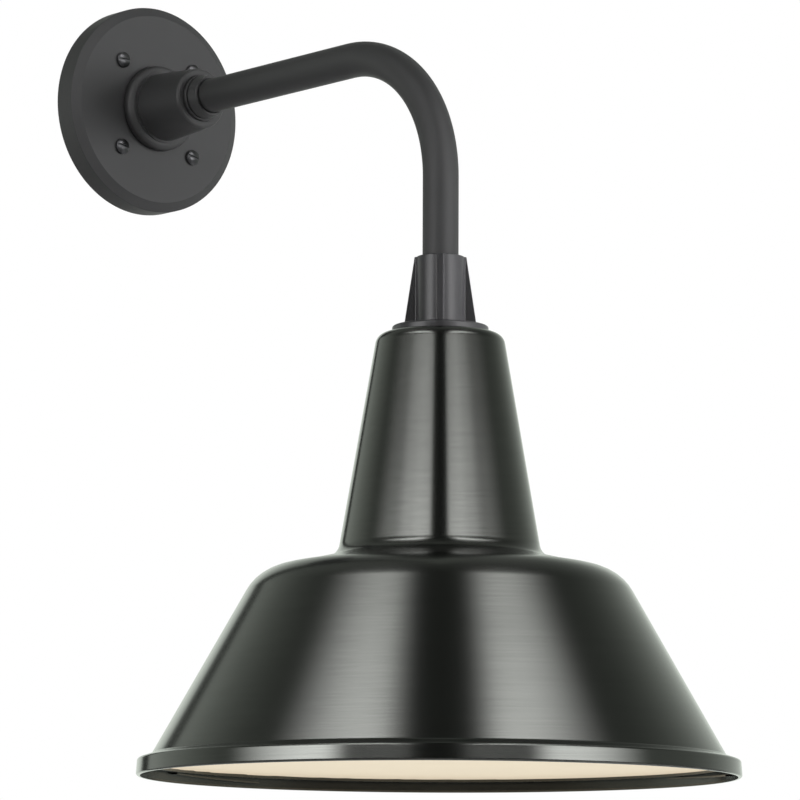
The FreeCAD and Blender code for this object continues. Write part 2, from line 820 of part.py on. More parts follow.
def lampholder_body():
    """Porcelain body with a bore for the screw shell and two holes for the leads."""
    neck_foot = holder_cap_drop + holder_cap_height
    lip_top = porcelain_foot_drop - porcelain_lip
    shell_floor = shell_top_drop
    body = turned_on_shade([
        (0, porcelain_drop),
        (porcelain_neck_radius, porcelain_drop),
        (porcelain_neck_radius, neck_foot),
        (porcelain_radius, neck_foot, porcelain_round),
        (porcelain_radius, lip_top),
        (porcelain_lip_radius, lip_top, porcelain_round / 2),
        (porcelain_lip_radius, porcelain_foot_drop, porcelain_round),
        (shell_bore_radius, porcelain_foot_drop),
        (shell_bore_radius, shell_floor),
        (0, shell_floor),
    ])
    cuts = [rod(contact_stem_radius + seat_gap,
                FreeCAD.Vector(0, -reach + contact_rivet_place, -shell_floor - overrun), Z_AXIS,
                shell_floor - porcelain_drop + 2 * overrun)]
    for side in (-1, 1):
        top = FreeCAD.Vector(side * lead_spread, -reach - lead_rise, -porcelain_drop + overrun)
        cuts.append(rod(lead_radius + seat_gap, top, -Z_AXIS, terminal_hole_depth + overrun))
    return body.cut(cuts)


def screw_shell():
    """Thin brass shell that the lamp screws into."""
    outer = shell_bore_radius - seat_gap
    return turned_on_shade([
        (outer - shell_wall, shell_top_drop),
        (outer, shell_top_drop),
        (outer, shell_foot_drop),
        (outer - shell_wall, shell_foot_drop),
    ])


def centre_contact():
    """Brass contact disc at the bottom of the shell, with its rivet through the porcelain."""
    disc = rod(contact_radius, at_shade(0, shell_top_drop), -Z_AXIS, contact_thickness)
    rivet = rod(contact_stem_radius, FreeCAD.Vector(0, -reach + contact_rivet_place, -shell_top_drop), Z_AXIS,
                shell_top_drop - porcelain_drop)
    return disc.fuse(rivet)


# Lamp


def lamp_eyelet():
    """Contact at the tip of the lamp's base."""
    return rod(eyelet_radius, at_shade(0, lamp_contact_drop), -Z_AXIS, eyelet_height)


def lamp_insulator():
    """Black cone between the eyelet and the screw base."""
    top = lamp_contact_drop + eyelet_height
    return turned_on_shade([
        (0, top),
        (eyelet_radius, top),
        (insulator_radius, top + insulator_height),
        (0, top + insulator_height),
    ])


def lamp_base():
    """Screw base of the lamp."""
    return rod(lamp_base_radius, at_shade(0, lamp_base_drop), -Z_AXIS, lamp_base_length)


def lamp_body():
    """White plastic body of the lamp, widening to the dome."""
    top = lamp_body_drop
    foot = top + lamp_neck + lamp_body_length
    return turned_on_shade([
        (0, top),
        (lamp_neck_radius, top),
        (lamp_neck_radius, top + lamp_neck, lamp_body_round),
        (lamp_body_radius, foot - lamp_body_round, lamp_body_round),
        (lamp_body_radius, foot),
        (0, foot),
    ])


def lamp_dome():
    """Opal half globe under the lamp's body."""
    centre_drop = lamp_body_drop + lamp_neck + lamp_body_length
    dome = Part.makeSphere(dome_radius, at_shade(0, centre_drop))
    dome = dome.cut(Part.makeSphere(dome_radius - dome_wall, at_shade(0, centre_drop)))
    upper = rod(dome_radius + overrun, at_shade(0, centre_drop), Z_AXIS, dome_radius + overrun)
    return dome.cut(upper)


# Lens and its holder


def shelf_drop(radius):
    """Drop of the underside of the rim's shelf at a radius."""
    slope = shelf_fall / shelf_width
    return skirt_foot_drop() + (radius - skirt_foot_radius()) * slope + sheet * math.hypot(1, slope)


def band_inner_radius(drop):
    """Radius of the inside of the rim's band at a drop."""
    slope = band_flare / band_height
    return band_top_radius() + (drop - band_top_drop()) * slope - sheet * math.hypot(1, slope)


def ring_outer_radius():
    """Outer radius of the turning ring, inside the band."""
    return min(band_inner_radius(band_top_drop()), band_inner_radius(rim_drop)) - ring_room


def lens_radius():
    """Radius of the lens, inside the ring's wall."""
    return ring_outer_radius() - ring_wall - lens_clear


def lens_top_drop():
    """Drop of the lens's upper face, under the rim's shelf."""
    return shelf_drop(lens_radius()) + lens_room


def lens_gasket():
    """Thin foam ring under the rim's shelf, above the lens."""
    outer = lens_radius() - lens_gasket_inset
    inner = outer - lens_gasket_width
    foot = lens_top_drop() - loose_gap
    return turned_on_shade([
        (inner, shelf_drop(inner)),
        (outer, shelf_drop(outer)),
        (outer, foot),
        (inner, foot),
    ])


def lens():
    """Opal disc that closes the shade."""
    return rod(lens_radius(), at_shade(0, lens_top_drop()), -Z_AXIS, lens_thickness)


def ring_floor_drop():
    """Drop of the face of the ring that carries the lens."""
    return lens_top_drop() + lens_thickness + loose_gap


def lug_angles():
    """Directions of the ring's lugs from +X."""
    return [lug_first_angle + index * full / lug_count for index in range(lug_count)]


def lens_ring():
    """Angle-section ring under the lens, with lugs that ride on the rim's ramps."""
    floor_top = ring_floor_drop()
    outer = ring_outer_radius()
    ring = turned_on_shade([
        (outer - ring_width, floor_top),
        (outer - ring_wall, floor_top),
        (outer - ring_wall, floor_top - ring_rim_height),
        (outer, floor_top - ring_rim_height),
        (outer, floor_top + ring_floor),
        (outer - ring_width, floor_top + ring_floor),
    ])
    inside = outer - ring_wall / 2
    for angle in lug_angles():
        lug = ring_sector(inside, outer + lug_reach, floor_top, lug_thickness, angle, lug_span)
        ring = ring.fuse(lug)
    return ring.removeSplitter()


def ring_ramps():
    """Three helical ledges on the inside of the rim band, each with a stop."""
    inner = ring_outer_radius() + ramp_gap
    top = ring_floor_drop() + lug_thickness + loose_gap
    outer = band_inner_radius(top) - seat_gap
    gap_angle = math.degrees(loose_gap / outer)
    ramp_span = ring_turn + gap_angle + stop_span
    section = Part.makePolygon([
        FreeCAD.Vector(inner, 0, 0),
        FreeCAD.Vector(outer, 0, 0),
        FreeCAD.Vector(outer, 0, -ramp_thickness),
        FreeCAD.Vector(inner, 0, -ramp_thickness),
        FreeCAD.Vector(inner, 0, 0),
    ])
    solids = []
    for angle in lug_angles():
        high_end = angle + lug_span / 2
        path = Part.Wire(Part.makeHelix(ring_lead, ring_lead * ramp_span / full, outer).Edges)
        ramp = path.makePipeShell([section], True, True)
        ramp.rotate(ORIGIN, Z_AXIS, high_end - ring_turn)
        ramp.translate(at_shade(0, top + ring_lead * ring_turn / full))
        stop = ring_sector(inner, outer, ring_floor_drop(), lug_thickness + loose_gap + ramp_thickness,
                           high_end + gap_angle + stop_span / 2, stop_span)
        solids.append(ramp.fuse(stop))
    return Part.makeCompound(solids)


def build():
    """Write one file for each piece."""
    pieces = {
        "backplate": backplate(),
        "wall_gasket": wall_gasket(),
        "mounting_plate": mounting_plate(),
        "posts": posts(),
        "ground_screw": ground_screw(),
        "collar_ring": collar_ring(),
        "hub": hub(),
        "hub_nut": hub_nut(),
        "set_screw": set_screw(),
        "arm_tube": arm_tube(),
        "retaining_clip": retaining_clip(),
        "arm_ferrule": arm_ferrule(),
        "tube_bushing": tube_bushing(),
        "lead_live": side_lead(-1),
        "lead_neutral": side_lead(1),
        "lead_ground": lead_ground(),
        "socket_cap": socket_cap(),
        "cap_gasket": cap_gasket(),
        "shade_neck": shade_neck(),
        "shade_skirt": shade_skirt(),
        "nipple": nipple(),
        "shade_washer": shade_washer(),
        "shade_nut": nut_on_nipple(shade_drop + sheet + washer_thickness),
        "holder_nut": nut_on_nipple(holder_cap_drop - nipple_nut_thickness),
        "lampholder_cap": lampholder_cap(),
        "ground_terminal": ground_terminal(),
        "lampholder_body": lampholder_body(),
        "screw_shell": screw_shell(),
        "centre_contact": centre_contact(),
        "lamp_eyelet": lamp_eyelet(),
        "lamp_insulator": lamp_insulator(),
        "lamp_base": lamp_base(),
        "lamp_body": lamp_body(),
        "lamp_dome": lamp_dome(),
        "lens_gasket": lens_gasket(),
        "lens": lens(),
        "lens_ring": lens_ring(),
        "ring_ramps": ring_ramps(),
    }
    for index, (place, slot_turn) in enumerate(zip(screw_places(), screw_slot_turns)):
        pieces["face_screw_%d" % (index + 1)] = face_screw(place, slot_turn)
    os.makedirs("parts", exist_ok=True)
    for name, shape in pieces.items():
        shape.exportStep("parts/%s.step" % name)
        print(name, "solids", len(shape.Solids), "valid", shape.isValid(), "volume", round(shape.Volume, 1))


build()
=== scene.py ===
"""The outdoor barn light's looks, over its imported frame.

The wall is the plane Y = 0. The arm leaves it along -Y, and the shade hangs on an upright axis at
the arm's far end. Sizes are in millimetres, as in the part's source: depths run from the wall
along -Y, and drops from the arm's axis along -Z.
"""

import logging
import math
from dataclasses import dataclass
from enum import Enum
from functools import cache
from typing import Callable, Optional, Sequence, Union

import bmesh
import bpy
from mathutils import Matrix, Vector


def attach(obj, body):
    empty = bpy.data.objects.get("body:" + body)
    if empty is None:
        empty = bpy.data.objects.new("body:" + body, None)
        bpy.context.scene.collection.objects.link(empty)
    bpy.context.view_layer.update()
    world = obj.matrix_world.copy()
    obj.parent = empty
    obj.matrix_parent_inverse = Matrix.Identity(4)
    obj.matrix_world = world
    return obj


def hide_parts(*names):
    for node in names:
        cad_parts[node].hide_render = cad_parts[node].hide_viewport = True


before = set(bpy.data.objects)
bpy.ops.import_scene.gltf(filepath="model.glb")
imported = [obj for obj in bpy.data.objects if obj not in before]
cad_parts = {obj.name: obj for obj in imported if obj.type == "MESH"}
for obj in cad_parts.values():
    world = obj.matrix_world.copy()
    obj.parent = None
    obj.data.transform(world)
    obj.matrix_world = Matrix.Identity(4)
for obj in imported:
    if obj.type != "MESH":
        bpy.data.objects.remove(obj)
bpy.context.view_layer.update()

MM = 0.001
REACH = 299.2            # from the wall to the shade's axis
SEAM = 0.005 * MM        # corners nearer than this are one corner
POLE = 0.001             # radius of a ring that closes on the axis
HEADING = (0.6547, 0.7559)  # shares of -X and -Y in the level direction to the camera

Outline = Sequence[tuple[float, ...]]
Colour = tuple[float, float, float]

log = logging.getLogger("barn_light")


def tone(red: float, green: float, blue: float) -> Colour:
    """Linear colour of a display colour given from 0 to 255."""
    shares = (red / 255, green / 255, blue / 255)
    return tuple(s / 12.92 if s <= 0.04045 else ((s + 0.055) / 1.055) ** 2.4 for s in shares)


def shade_of(colour: Colour, factor: float) -> Colour:
    """The same colour, lighter or darker by a factor."""
    return tuple(min(part * factor, 1.0) for part in colour)


def near(first: float, second: float) -> bool:
    """Whether two coordinates agree within a seam."""
    return abs(first - second) < SEAM


class Axis(Enum):
    """The two axes that the turned pieces are made round."""

    ARM = ((0.0, 0.0, 0.0), (0.0, -1.0, 0.0), (math.pi / 2, 0.0, 0.0))
    SHADE = ((0.0, -REACH, 0.0), (0.0, 0.0, -1.0), (0.0, 0.0, 0.0))

    @property
    def origin(self) -> Vector:
        """Where depths or drops start, in metres."""
        return Vector(self.value[0]) * MM

    @property
    def along(self) -> Vector:
        """Direction of growing depth or drop."""
        return Vector(self.value[1])

    @property
    def facing(self) -> tuple[float, float, float]:
        """Turn of a flat primitive that lies square to the axis."""
        return self.value[2]

    def at(self, distance: float) -> Vector:
        """Point on the axis at a depth or drop, in metres."""
        return self.origin + self.along * (distance * MM)

    def across(self, factor: float) -> tuple[float, float, float]:
        """Scale factors square to the axis."""
        return tuple(1.0 if part else factor for part in self.along)

    def place_of(self, point: Vector) -> tuple[float, float]:
        """Radius and depth or drop of a point, in millimetres.

        Args:
            point: The point, in metres.

        Returns:
            Its distance from the axis and its place along it.
        """
        away = point - self.origin
        distance = away.dot(self.along)
        return (away - self.along * distance).length / MM, distance / MM


class Part(Enum):
    """Kinds of mesh element that can be selected."""

    VERT = "verts"
    EDGE = "edges"
    FACE = "faces"


class Piece:
    """One new piece, from its first primitive to its finish."""

    NEAR = 0.01              # a corner this near to a ring's corner is on the ring, in millimetres
    COARSE_STEP = 22         # degrees of turn that one face of a round takes
    FINE_STEP = 9            # and one face of a round of more than a millimetre

    def __init__(self, name: str) -> None:
        """Notes the piece's name; nothing is made yet."""
        self.name = name
        self.object: Optional[bpy.types.Object] = None

    def only(self) -> None:
        """Leaves edit mode and selects this piece alone."""
        if bpy.context.mode != "OBJECT":
            bpy.ops.object.mode_set(mode="OBJECT")
        bpy.ops.object.select_all(action="DESELECT")
        if self.object:
            self.object.select_set(True)
            bpy.context.view_layer.objects.active = self.object

    def start(self, add: Callable, **settings: object) -> "Piece":
        """Adds the first primitive at its size and place and opens it for editing.

        Args:
            add: The operator that adds the primitive.
            settings: The operator's settings.

        Returns:
            The piece, in edit mode with everything selected.
        """
        self.only()
        add(**settings)
        self.object = bpy.context.active_object
        self.object.name = self.name
        self.object.data.name = self.name
        self.settle()
        self.edit()
        bpy.ops.mesh.select_all(action="SELECT")
        return self

    def settle(self) -> None:
        """Writes the object's place, turn and scale into its mesh."""
        bpy.ops.object.transform_apply(location=True, rotation=True, scale=True)

    def edit(self) -> None:
        """Opens the piece for editing."""
        self.only()
        bpy.ops.object.mode_set(mode="EDIT")

    def select(self, part: Part, test: Callable[[Vector], bool]) -> None:
        """Selects the elements whose corners all pass a test.

        Args:
            part: The kind of element.
            test: The test of one corner.
        """
        bpy.ops.mesh.select_mode(type=part.name)
        bpy.ops.mesh.select_all(action="DESELECT")
        mesh = bmesh.from_edit_mesh(self.object.data)
        for item in getattr(mesh, part.value):
            corners = (item,) if part is Part.VERT else item.verts
            if all(test(corner.co) for corner in corners):
                item.select_set(True)
        bmesh.update_edit_mesh(self.object.data, loop_triangles=False, destructive=False)

    def turn(self, axis: Axis, outline: Outline, steps: int = 192, closed: bool = True) -> "Piece":
        """Turns a piece: a ring is extruded from corner to corner, and the corners are rounded.

        Args:
            axis: The axis that the piece is turned round.
            outline: Corners as (radius, depth or drop) or (radius, depth or drop, round).
            steps: Number of divisions round the axis.
            closed: Whether the last corner joins the first.

        Returns:
            The piece, in edit mode.
        """
        first = outline[0]
        self.start(bpy.ops.mesh.primitive_circle_add, vertices=steps, radius=max(first[0], POLE) * MM,
                   location=axis.at(first[1]), rotation=axis.facing)
        here = first
        for there in [*outline[1:], *([first] if closed else [])]:
            self.extrude(axis.along * ((there[1] - here[1]) * MM))
            self.widen(axis, there[1], max(there[0], POLE) / max(here[0], POLE))
            here = there
        self.weld()
        for index, corner in enumerate(outline):
            if len(corner) == 3:
                self.round_ring(axis, outline[index - 1], corner, outline[(index + 1) % len(outline)])
        self.face_out()
        return self

    def extrude(self, step: Vector) -> None:
        """Extrudes what is selected by a step in metres."""
        bpy.ops.mesh.extrude_region_move(TRANSFORM_OT_translate={"value": step})

    def widen(self, axis: Axis, distance: float, factor: float) -> None:
        """Scales what is selected square to an axis."""
        if factor != 1:
            bpy.ops.transform.resize(value=axis.across(factor), center_override=axis.at(distance))

    def shoulder(self, axis: Axis, distance: float, factor: float) -> None:
        """Extrudes what is selected in place and scales it, which leaves a square shoulder."""
        self.extrude(Vector())
        self.widen(axis, distance, factor)

    def round_ring(self, axis: Axis, before: Sequence[float], here: Sequence[float],
                   after: Sequence[float]) -> None:
        """Rounds one ring of edges to the radius of its corner.

        Args:
            axis: The axis of the turned piece.
            before: The corner before the ring.
            here: The ring's corner, with its round.
            after: The corner after the ring.
        """
        back = Vector((before[0] - here[0], before[1] - here[1])).normalized()
        on = Vector((after[0] - here[0], after[1] - here[1])).normalized()
        half = math.acos(max(-1.0, min(1.0, back.dot(on)))) / 2
        turned = math.pi - 2 * half
        step = self.FINE_STEP if here[2] > 1 else self.COARSE_STEP
        self.select(Part.EDGE, lambda point: math.dist(axis.place_of(point), here[:2]) < self.NEAR)
        bpy.ops.mesh.bevel(
            offset_type="OFFSET", offset=here[2] / math.tan(half) * MM, affect="EDGES",
            segments=max(2, math.ceil(turned / math.radians(step))),
            profile=(1 - 1 / (2 * (1 + math.sin(half)))) ** 2, clamp_overlap=False)

    def weld(self) -> None:
        """Merges corners that lie at one place."""
        bpy.ops.mesh.select_all(action="SELECT")
        bpy.ops.mesh.remove_doubles(threshold=SEAM)

    def face_out(self) -> None:
        """Turns every face outwards."""
        bpy.ops.mesh.select_all(action="SELECT")
        bpy.ops.mesh.normals_make_consistent(inside=False)

    def modify(self, kind: str, **settings: object) -> "Piece":
        """Adds a modifier, sets it and applies it.

        Args:
            kind: Blender's name of the modifier's type.
            settings: The modifier's settings.

        Returns:
            The piece, in object mode.
        """
        self.only()
        modifier = self.object.modifiers.new(kind.lower(), kind)
        for key, value in settings.items():
            setattr(modifier, key, value)
        bpy.ops.object.modifier_apply(modifier=modifier.name)
        return self

    def cut(self, *cutters: "Piece") -> "Piece":
        """Cuts other pieces out of this one and removes them.

        Args:
            cutters: The pieces to cut out.

        Returns:
            The piece, in object mode.
        """
        for cutter in cutters:
            self.modify("BOOLEAN", operation="DIFFERENCE", object=cutter.object, solver="EXACT")
            bpy.data.objects.remove(cutter.object)
        return self

    def soften(self, width: float, segments: int = 2, angle: float = 35.0) -> "Piece":
        """Bevels the sharp edges by a width in millimetres."""
        return self.modify("BEVEL", width=width * MM, segments=segments, limit_method="ANGLE",
                           angle_limit=math.radians(angle), use_clamp_overlap=True)

    def join(self, *others: "Piece") -> "Piece":
        """Joins other pieces into this one.

        Args:
            others: The pieces that join it.

        Returns:
            The piece, in object mode.
        """
        self.only()
        for other in others:
            other.object.select_set(True)
        bpy.ops.object.join()
        return self

    def copy(self, name: str) -> "Piece":
        """A copy with its own mesh, selected alone.

        Args:
            name: The copy's name.

        Returns:
            The copy.
        """
        self.only()
        bpy.ops.object.duplicate(linked=False)
        twin = Piece(name)
        twin.object = bpy.context.active_object
        twin.object.name = name
        twin.object.data.name = name
        return twin

    def finish(self, look: "Finish", body: str, *stands_for: str, crease: float = 32.0) -> "Piece":
        """Smooths the piece, gives it its material and ties it to the frame.

        Args:
            look: The finish that it wears.
            body: The body that it moves with.
            stands_for: The nodes that it replaces.
            crease: Edges sharper than this, in degrees, stay sharp.

        Returns:
            The piece.
        """
        material, slot = look.material(), look.slot
        self.only()
        bpy.ops.object.shade_smooth_by_angle(angle=math.radians(crease))
        self.modify("WEIGHTED_NORMAL", keep_sharp=True)
        self.object.data.materials.clear()
        self.object.data.materials.append(material)
        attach(self.object, body)
        if stands_for:
            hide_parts(*stands_for)
        log.info("%s: %d faces in %s", self.name, len(self.object.data.polygons), material.name)
        return self


def dress(look: "Finish", *nodes: str) -> None:
    """Puts a finish on CAD nodes that keep their shape.

    Args:
        look: The finish that they wear.
        nodes: The nodes' names.
    """
    material = look.material()
    for name in nodes:
        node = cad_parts[name]
        node.data.materials.clear()
        node.data.materials.append(material)
        log.info("%s: kept, in %s", name, material.name)


Value = Union["Signal", float, Sequence[float]]


class Signal:
    """One output of a node, with arithmetic that adds its Math nodes."""

    def __init__(self, nodes: "Nodes", socket: bpy.types.NodeSocket) -> None:
        """Wraps a socket of a tree's nodes."""
        self.nodes = nodes
        self.socket = socket

    def __add__(self, other: Value) -> "Signal":
        """Sum."""
        return self.nodes.maths("ADD", self, other)

    __radd__ = __add__

    def __sub__(self, other: Value) -> "Signal":
        """Difference."""
        return self.nodes.maths("SUBTRACT", self, other)

    def __rsub__(self, other: Value) -> "Signal":
        """Difference from a value."""
        return self.nodes.maths("SUBTRACT", other, self)

    def __mul__(self, other: Value) -> "Signal":
        """Product."""
        return self.nodes.maths("MULTIPLY", self, other)

    __rmul__ = __mul__

    def __truediv__(self, other: Value) -> "Signal":
        """Quotient."""
        return self.nodes.maths("DIVIDE", self, other)

    def smooth(self, low: float, high: float) -> "Signal":
        """Smooth step from 0 at low to 1 at high."""
        return self.nodes.node("ShaderNodeMapRange", {"interpolation_type": "SMOOTHSTEP"},
                               {"Value": self, "From Min": low, "From Max": high})


class Nodes:
    """Adds nodes to one tree and joins them up."""

    def __init__(self, tree: bpy.types.NodeTree) -> None:
        """Starts on a node tree."""
        self.tree = tree

    def feed(self, socket: bpy.types.NodeSocket, value: Value) -> None:
        """Links a signal to a socket, or sets the socket's own value.

        Args:
            socket: The socket to feed.
            value: A signal, a number or several numbers.
        """
        if isinstance(value, Signal):
            self.tree.links.new(value.socket, socket)
        elif isinstance(value, (int, float)):
            socket.default_value = value
        else:
            wanted = len(socket.default_value)
            socket.default_value = (*value, 1.0)[:wanted]

    def node(self, kind: str, settings: dict, inputs: dict,
             output: Union[int, str] = 0) -> Optional[Signal]:
        """Adds any node.

        Args:
            kind: The node's type.
            settings: The node's own settings, set first.
            inputs: Values or signals for its sockets, by name or place.
            output: The socket that the signal reads.

        Returns:
            The node's output, where it has one.
        """
        made = self.tree.nodes.new(kind)
        for key, value in settings.items():
            if key == "stops":
                self.set_stops(made, value)
            else:
                setattr(made, key, value)
        for key, value in inputs.items():
            self.feed(made.inputs[key], value)
        return Signal(self, made.outputs[output]) if made.outputs else None

    @staticmethod
    def set_stops(made: bpy.types.Node, stops: Sequence[tuple[float, float]]) -> None:
        """Sets a ramp's stops, each a place from 0 to 1 and its grey level.

        Args:
            made: The ramp's node.
            stops: The stops, in order of place.
        """
        elements = made.color_ramp.elements
        for index, (place, level) in enumerate(stops):
            stop = elements[index] if index < 2 else elements.new(place)
            stop.position = place
            stop.color = (level, level, level, 1)

    def maths(self, operation: str, first: Value, second: Value = 0.0) -> Signal:
        """A Math node."""
        return self.node("ShaderNodeMath", {"operation": operation}, {0: first, 1: second})

    def vector(self, operation: str, first: Value, second: Value = (0.0, 0.0, 0.0)) -> Signal:
        """A Vector Math node that gives a vector."""
        return self.node("ShaderNodeVectorMath", {"operation": operation}, {0: first, 1: second})

    def dot(self, first: Value, second: Value) -> Signal:
        """Dot product of two vectors."""
        return self.node("ShaderNodeVectorMath", {"operation": "DOT_PRODUCT"}, {0: first, 1: second},
                         "Value")


class Paint(Nodes):
    """Builds one material's nodes, from object coordinates to the shader."""

    GAUGE = 100              # radius at which a turned mark has its length, in millimetres
    SLANT = 0.31             # share of the lines' pitch that tells a cone's lines from another's

    def __init__(self) -> None:
        """Makes an empty material with a Principled shader."""
        self.material = bpy.data.materials.new("finish")
        self.material.use_nodes = True
        super().__init__(self.material.node_tree)
        self.tree.nodes.clear()
        self.output = self.tree.nodes.new("ShaderNodeOutputMaterial")
        self.shader = self.tree.nodes.new("ShaderNodeBsdfPrincipled")
        self.tree.links.new(self.shader.outputs[0], self.output.inputs["Surface"])

    def place(self) -> Signal:
        """Object coordinates."""
        return self.node("ShaderNodeTexCoord", {}, {}, "Object")

    def parts(self, vector: Signal) -> tuple[Signal, Signal, Signal]:
        """The three numbers of a vector.

        Args:
            vector: The vector.

        Returns:
            Its X, Y and Z.
        """
        made = self.node("ShaderNodeSeparateXYZ", {}, {0: vector})
        outputs = made.socket.node.outputs
        return tuple(Signal(self, socket) for socket in outputs)

    def noise(self, vector: Signal, size: float, detail: float = 2.0, rough: float = 0.5) -> Signal:
        """Cloud noise with features of a size in millimetres."""
        inputs = {"Vector": vector, "Scale": 1 / (size * MM), "Detail": detail, "Roughness": rough}
        return self.node("ShaderNodeTexNoise", {}, inputs)

    def cells(self, vector: Signal, size: float) -> Signal:
        """A random level for each cell of a size in millimetres."""
        inputs = {"Vector": vector, "Scale": 1 / (size * MM)}
        return self.parts(self.node("ShaderNodeTexVoronoi", {}, inputs, "Color"))[0]

    def turned(self, axis: Axis, round_size: float, line_size: float) -> Signal:
        """Noise drawn out round an axis, as a brush or a lathe tool leaves it.

        Args:
            axis: The axis of the turned piece.
            round_size: Length of a mark round the axis at a radius of 100 mm, in millimetres.
            line_size: Width of a mark, in millimetres.

        Returns:
            The noise's level.
        """
        away = self.vector("SUBTRACT", self.place(), tuple(axis.origin))
        flat = self.vector("MULTIPLY", away, tuple(1.0 - abs(part) for part in axis.along))
        radius = self.node("ShaderNodeVectorMath", {"operation": "LENGTH"}, {0: flat}, "Value")
        depth = self.dot(away, tuple(axis.along))
        ring = self.vector("MULTIPLY", self.vector("NORMALIZE", flat), (self.GAUGE / round_size,) * 3)
        pitch = 1 / (line_size * MM)
        lines = self.node("ShaderNodeCombineXYZ", {}, {0: (radius + depth) * pitch,
                                                       2: (radius - depth) * (self.SLANT * pitch)})
        inputs = {"Vector": self.vector("ADD", ring, lines), "Scale": 1.0,
                  "Detail": 3.0, "Roughness": 0.6}
        return self.node("ShaderNodeTexNoise", {}, inputs)

    def blend(self, mask: Value, low: Value, high: Value) -> Signal:
        """Colour between two colours."""
        return self.node("ShaderNodeMix", {"data_type": "RGBA"}, {0: mask, 6: low, 7: high}, 2)

    def mottle(self, mask: Signal, colour: Colour, low: float, high: float) -> Signal:
        """A colour that varies between two levels of itself."""
        return self.blend(mask, shade_of(colour, low), shade_of(colour, high))

    def bump(self, height: Signal, depth: float) -> Signal:
        """Normal of a height that varies over a depth in millimetres."""
        inputs = {"Height": height, "Distance": depth * MM, "Strength": 1.0}
        return self.node("ShaderNodeBump", {}, inputs)

    def done(self, **sockets: Value) -> bpy.types.Material:
        """Feeds the shader and hands the material over.

        Args:
            sockets: Values or signals by socket name, with _ for a space.

        Returns:
            The material.
        """
        for key, value in sockets.items():
            self.feed(self.shader.inputs[key.replace("_", " ")], value)
        return self.material


@dataclass(frozen=True)
class PowderCoat:
    """Matt powder coat with its fine orange peel."""

    colour: Colour
    roughness: float = 0.55
    swing: float = 0.12
    grain: float = 0.9
    depth: float = 0.012
    cloud: float = 22.0
    mottle: float = 0.05
    gloss: float = 0.45

    def material(self) -> bpy.types.Material:
        """The coat's material.

        Returns:
            The material, not named yet.
        """
        paint = Paint()
        place = paint.place()
        peel = paint.noise(place, self.grain, 3.0, 0.55)
        cloud = paint.noise(place, self.cloud)
        base = paint.mottle(cloud, self.colour, 1 - self.mottle, 1 + self.mottle)
        return paint.done(Base_Color=base, Roughness=self.roughness + (peel - 0.5) * self.swing,
                          Normal=paint.bump(peel, self.depth), Specular_IOR_Level=self.gloss)


@dataclass(frozen=True)
class CastCoat:
    """Painted sand casting: coarse skin under a smoother coat."""

    colour: Colour
    roughness: float = 0.3
    swing: float = 0.1
    skin: float = 2.2
    peel: float = 0.7
    skin_share: float = 0.7
    depth: float = 0.02
    mottle: float = 0.1
    gloss: float = 0.35

    def material(self) -> bpy.types.Material:
        """The casting's material.

        Returns:
            The material, not named yet.
        """
        paint = Paint()
        place = paint.place()
        skin = paint.noise(place, self.skin, 4.0, 0.6)
        peel = paint.noise(place, self.peel)
        height = skin * self.skin_share + peel * (1 - self.skin_share)
        base = paint.mottle(skin, self.colour, 1 - self.mottle, 1 + self.mottle)
        return paint.done(Base_Color=base, Roughness=self.roughness + (peel - 0.5) * self.swing,
                          Normal=paint.bump(height, self.depth), Specular_IOR_Level=self.gloss)


@dataclass(frozen=True)
class BrushedLacquer:
    """Metal brushed round the shade's axis, under dark clear lacquer."""

    tint: Colour
    low: float = 0.084
    high: float = 0.106
    roughness: float = 0.21
    swing: float = 0.03
    coat: float = 0.12
    coat_roughness: float = 0.04
    streak: tuple[float, float] = (26.0, 1.1)
    hair: tuple[float, float] = (9.0, 0.45)
    streak_share: float = 0.6
    cloud: float = 55.0
    cloud_share: float = 0.25
    contrast: tuple[float, float] = (0.3, 0.7)
    draw: float = 0.8
    depth: float = 0.0025

    def material(self) -> bpy.types.Material:
        """The lacquered metal's material.

        Returns:
            The material, not named yet.
        """
        paint = Paint()
        streak = paint.turned(Axis.SHADE, *self.streak)
        hair = paint.turned(Axis.SHADE, *self.hair)
        cloud = paint.noise(paint.place(), self.cloud)
        grain = streak * self.streak_share + hair * (1 - self.streak_share)
        level = (grain * (1 - self.cloud_share) + cloud * self.cloud_share).smooth(*self.contrast)
        base = paint.mottle(level, self.tint, self.low, self.high)
        return paint.done(Base_Color=base, Metallic=1.0,
                          Roughness=self.roughness + (grain - 0.5) * self.swing,
                          Anisotropic=self.draw, Anisotropic_Rotation=0.25,
                          Coat_Weight=self.coat, Coat_Roughness=self.coat_roughness,
                          Normal=paint.bump(grain, self.depth))


@dataclass(frozen=True)
class PlatedMetal:
    """Plated or bare metal with fine flakes and handling marks."""

    colour: Colour
    roughness: float = 0.34
    swing: float = 0.25
    flake: float = 1.6
    mark: float = 4.0
    depth: float = 0.01
    contrast: float = 0.12

    def material(self) -> bpy.types.Material:
        """The metal's material.

        Returns:
            The material, not named yet.
        """
        paint = Paint()
        place = paint.place()
        flakes = paint.cells(place, self.flake)
        marks = paint.noise(place, self.mark, 4.0, 0.65)
        mask = flakes * 0.5 + marks * 0.5
        base = paint.mottle(mask, self.colour, 1 - self.contrast, 1 + self.contrast)
        return paint.done(Base_Color=base, Metallic=1.0, Normal=paint.bump(marks, self.depth),
                          Roughness=self.roughness + (marks - 0.5) * self.swing)


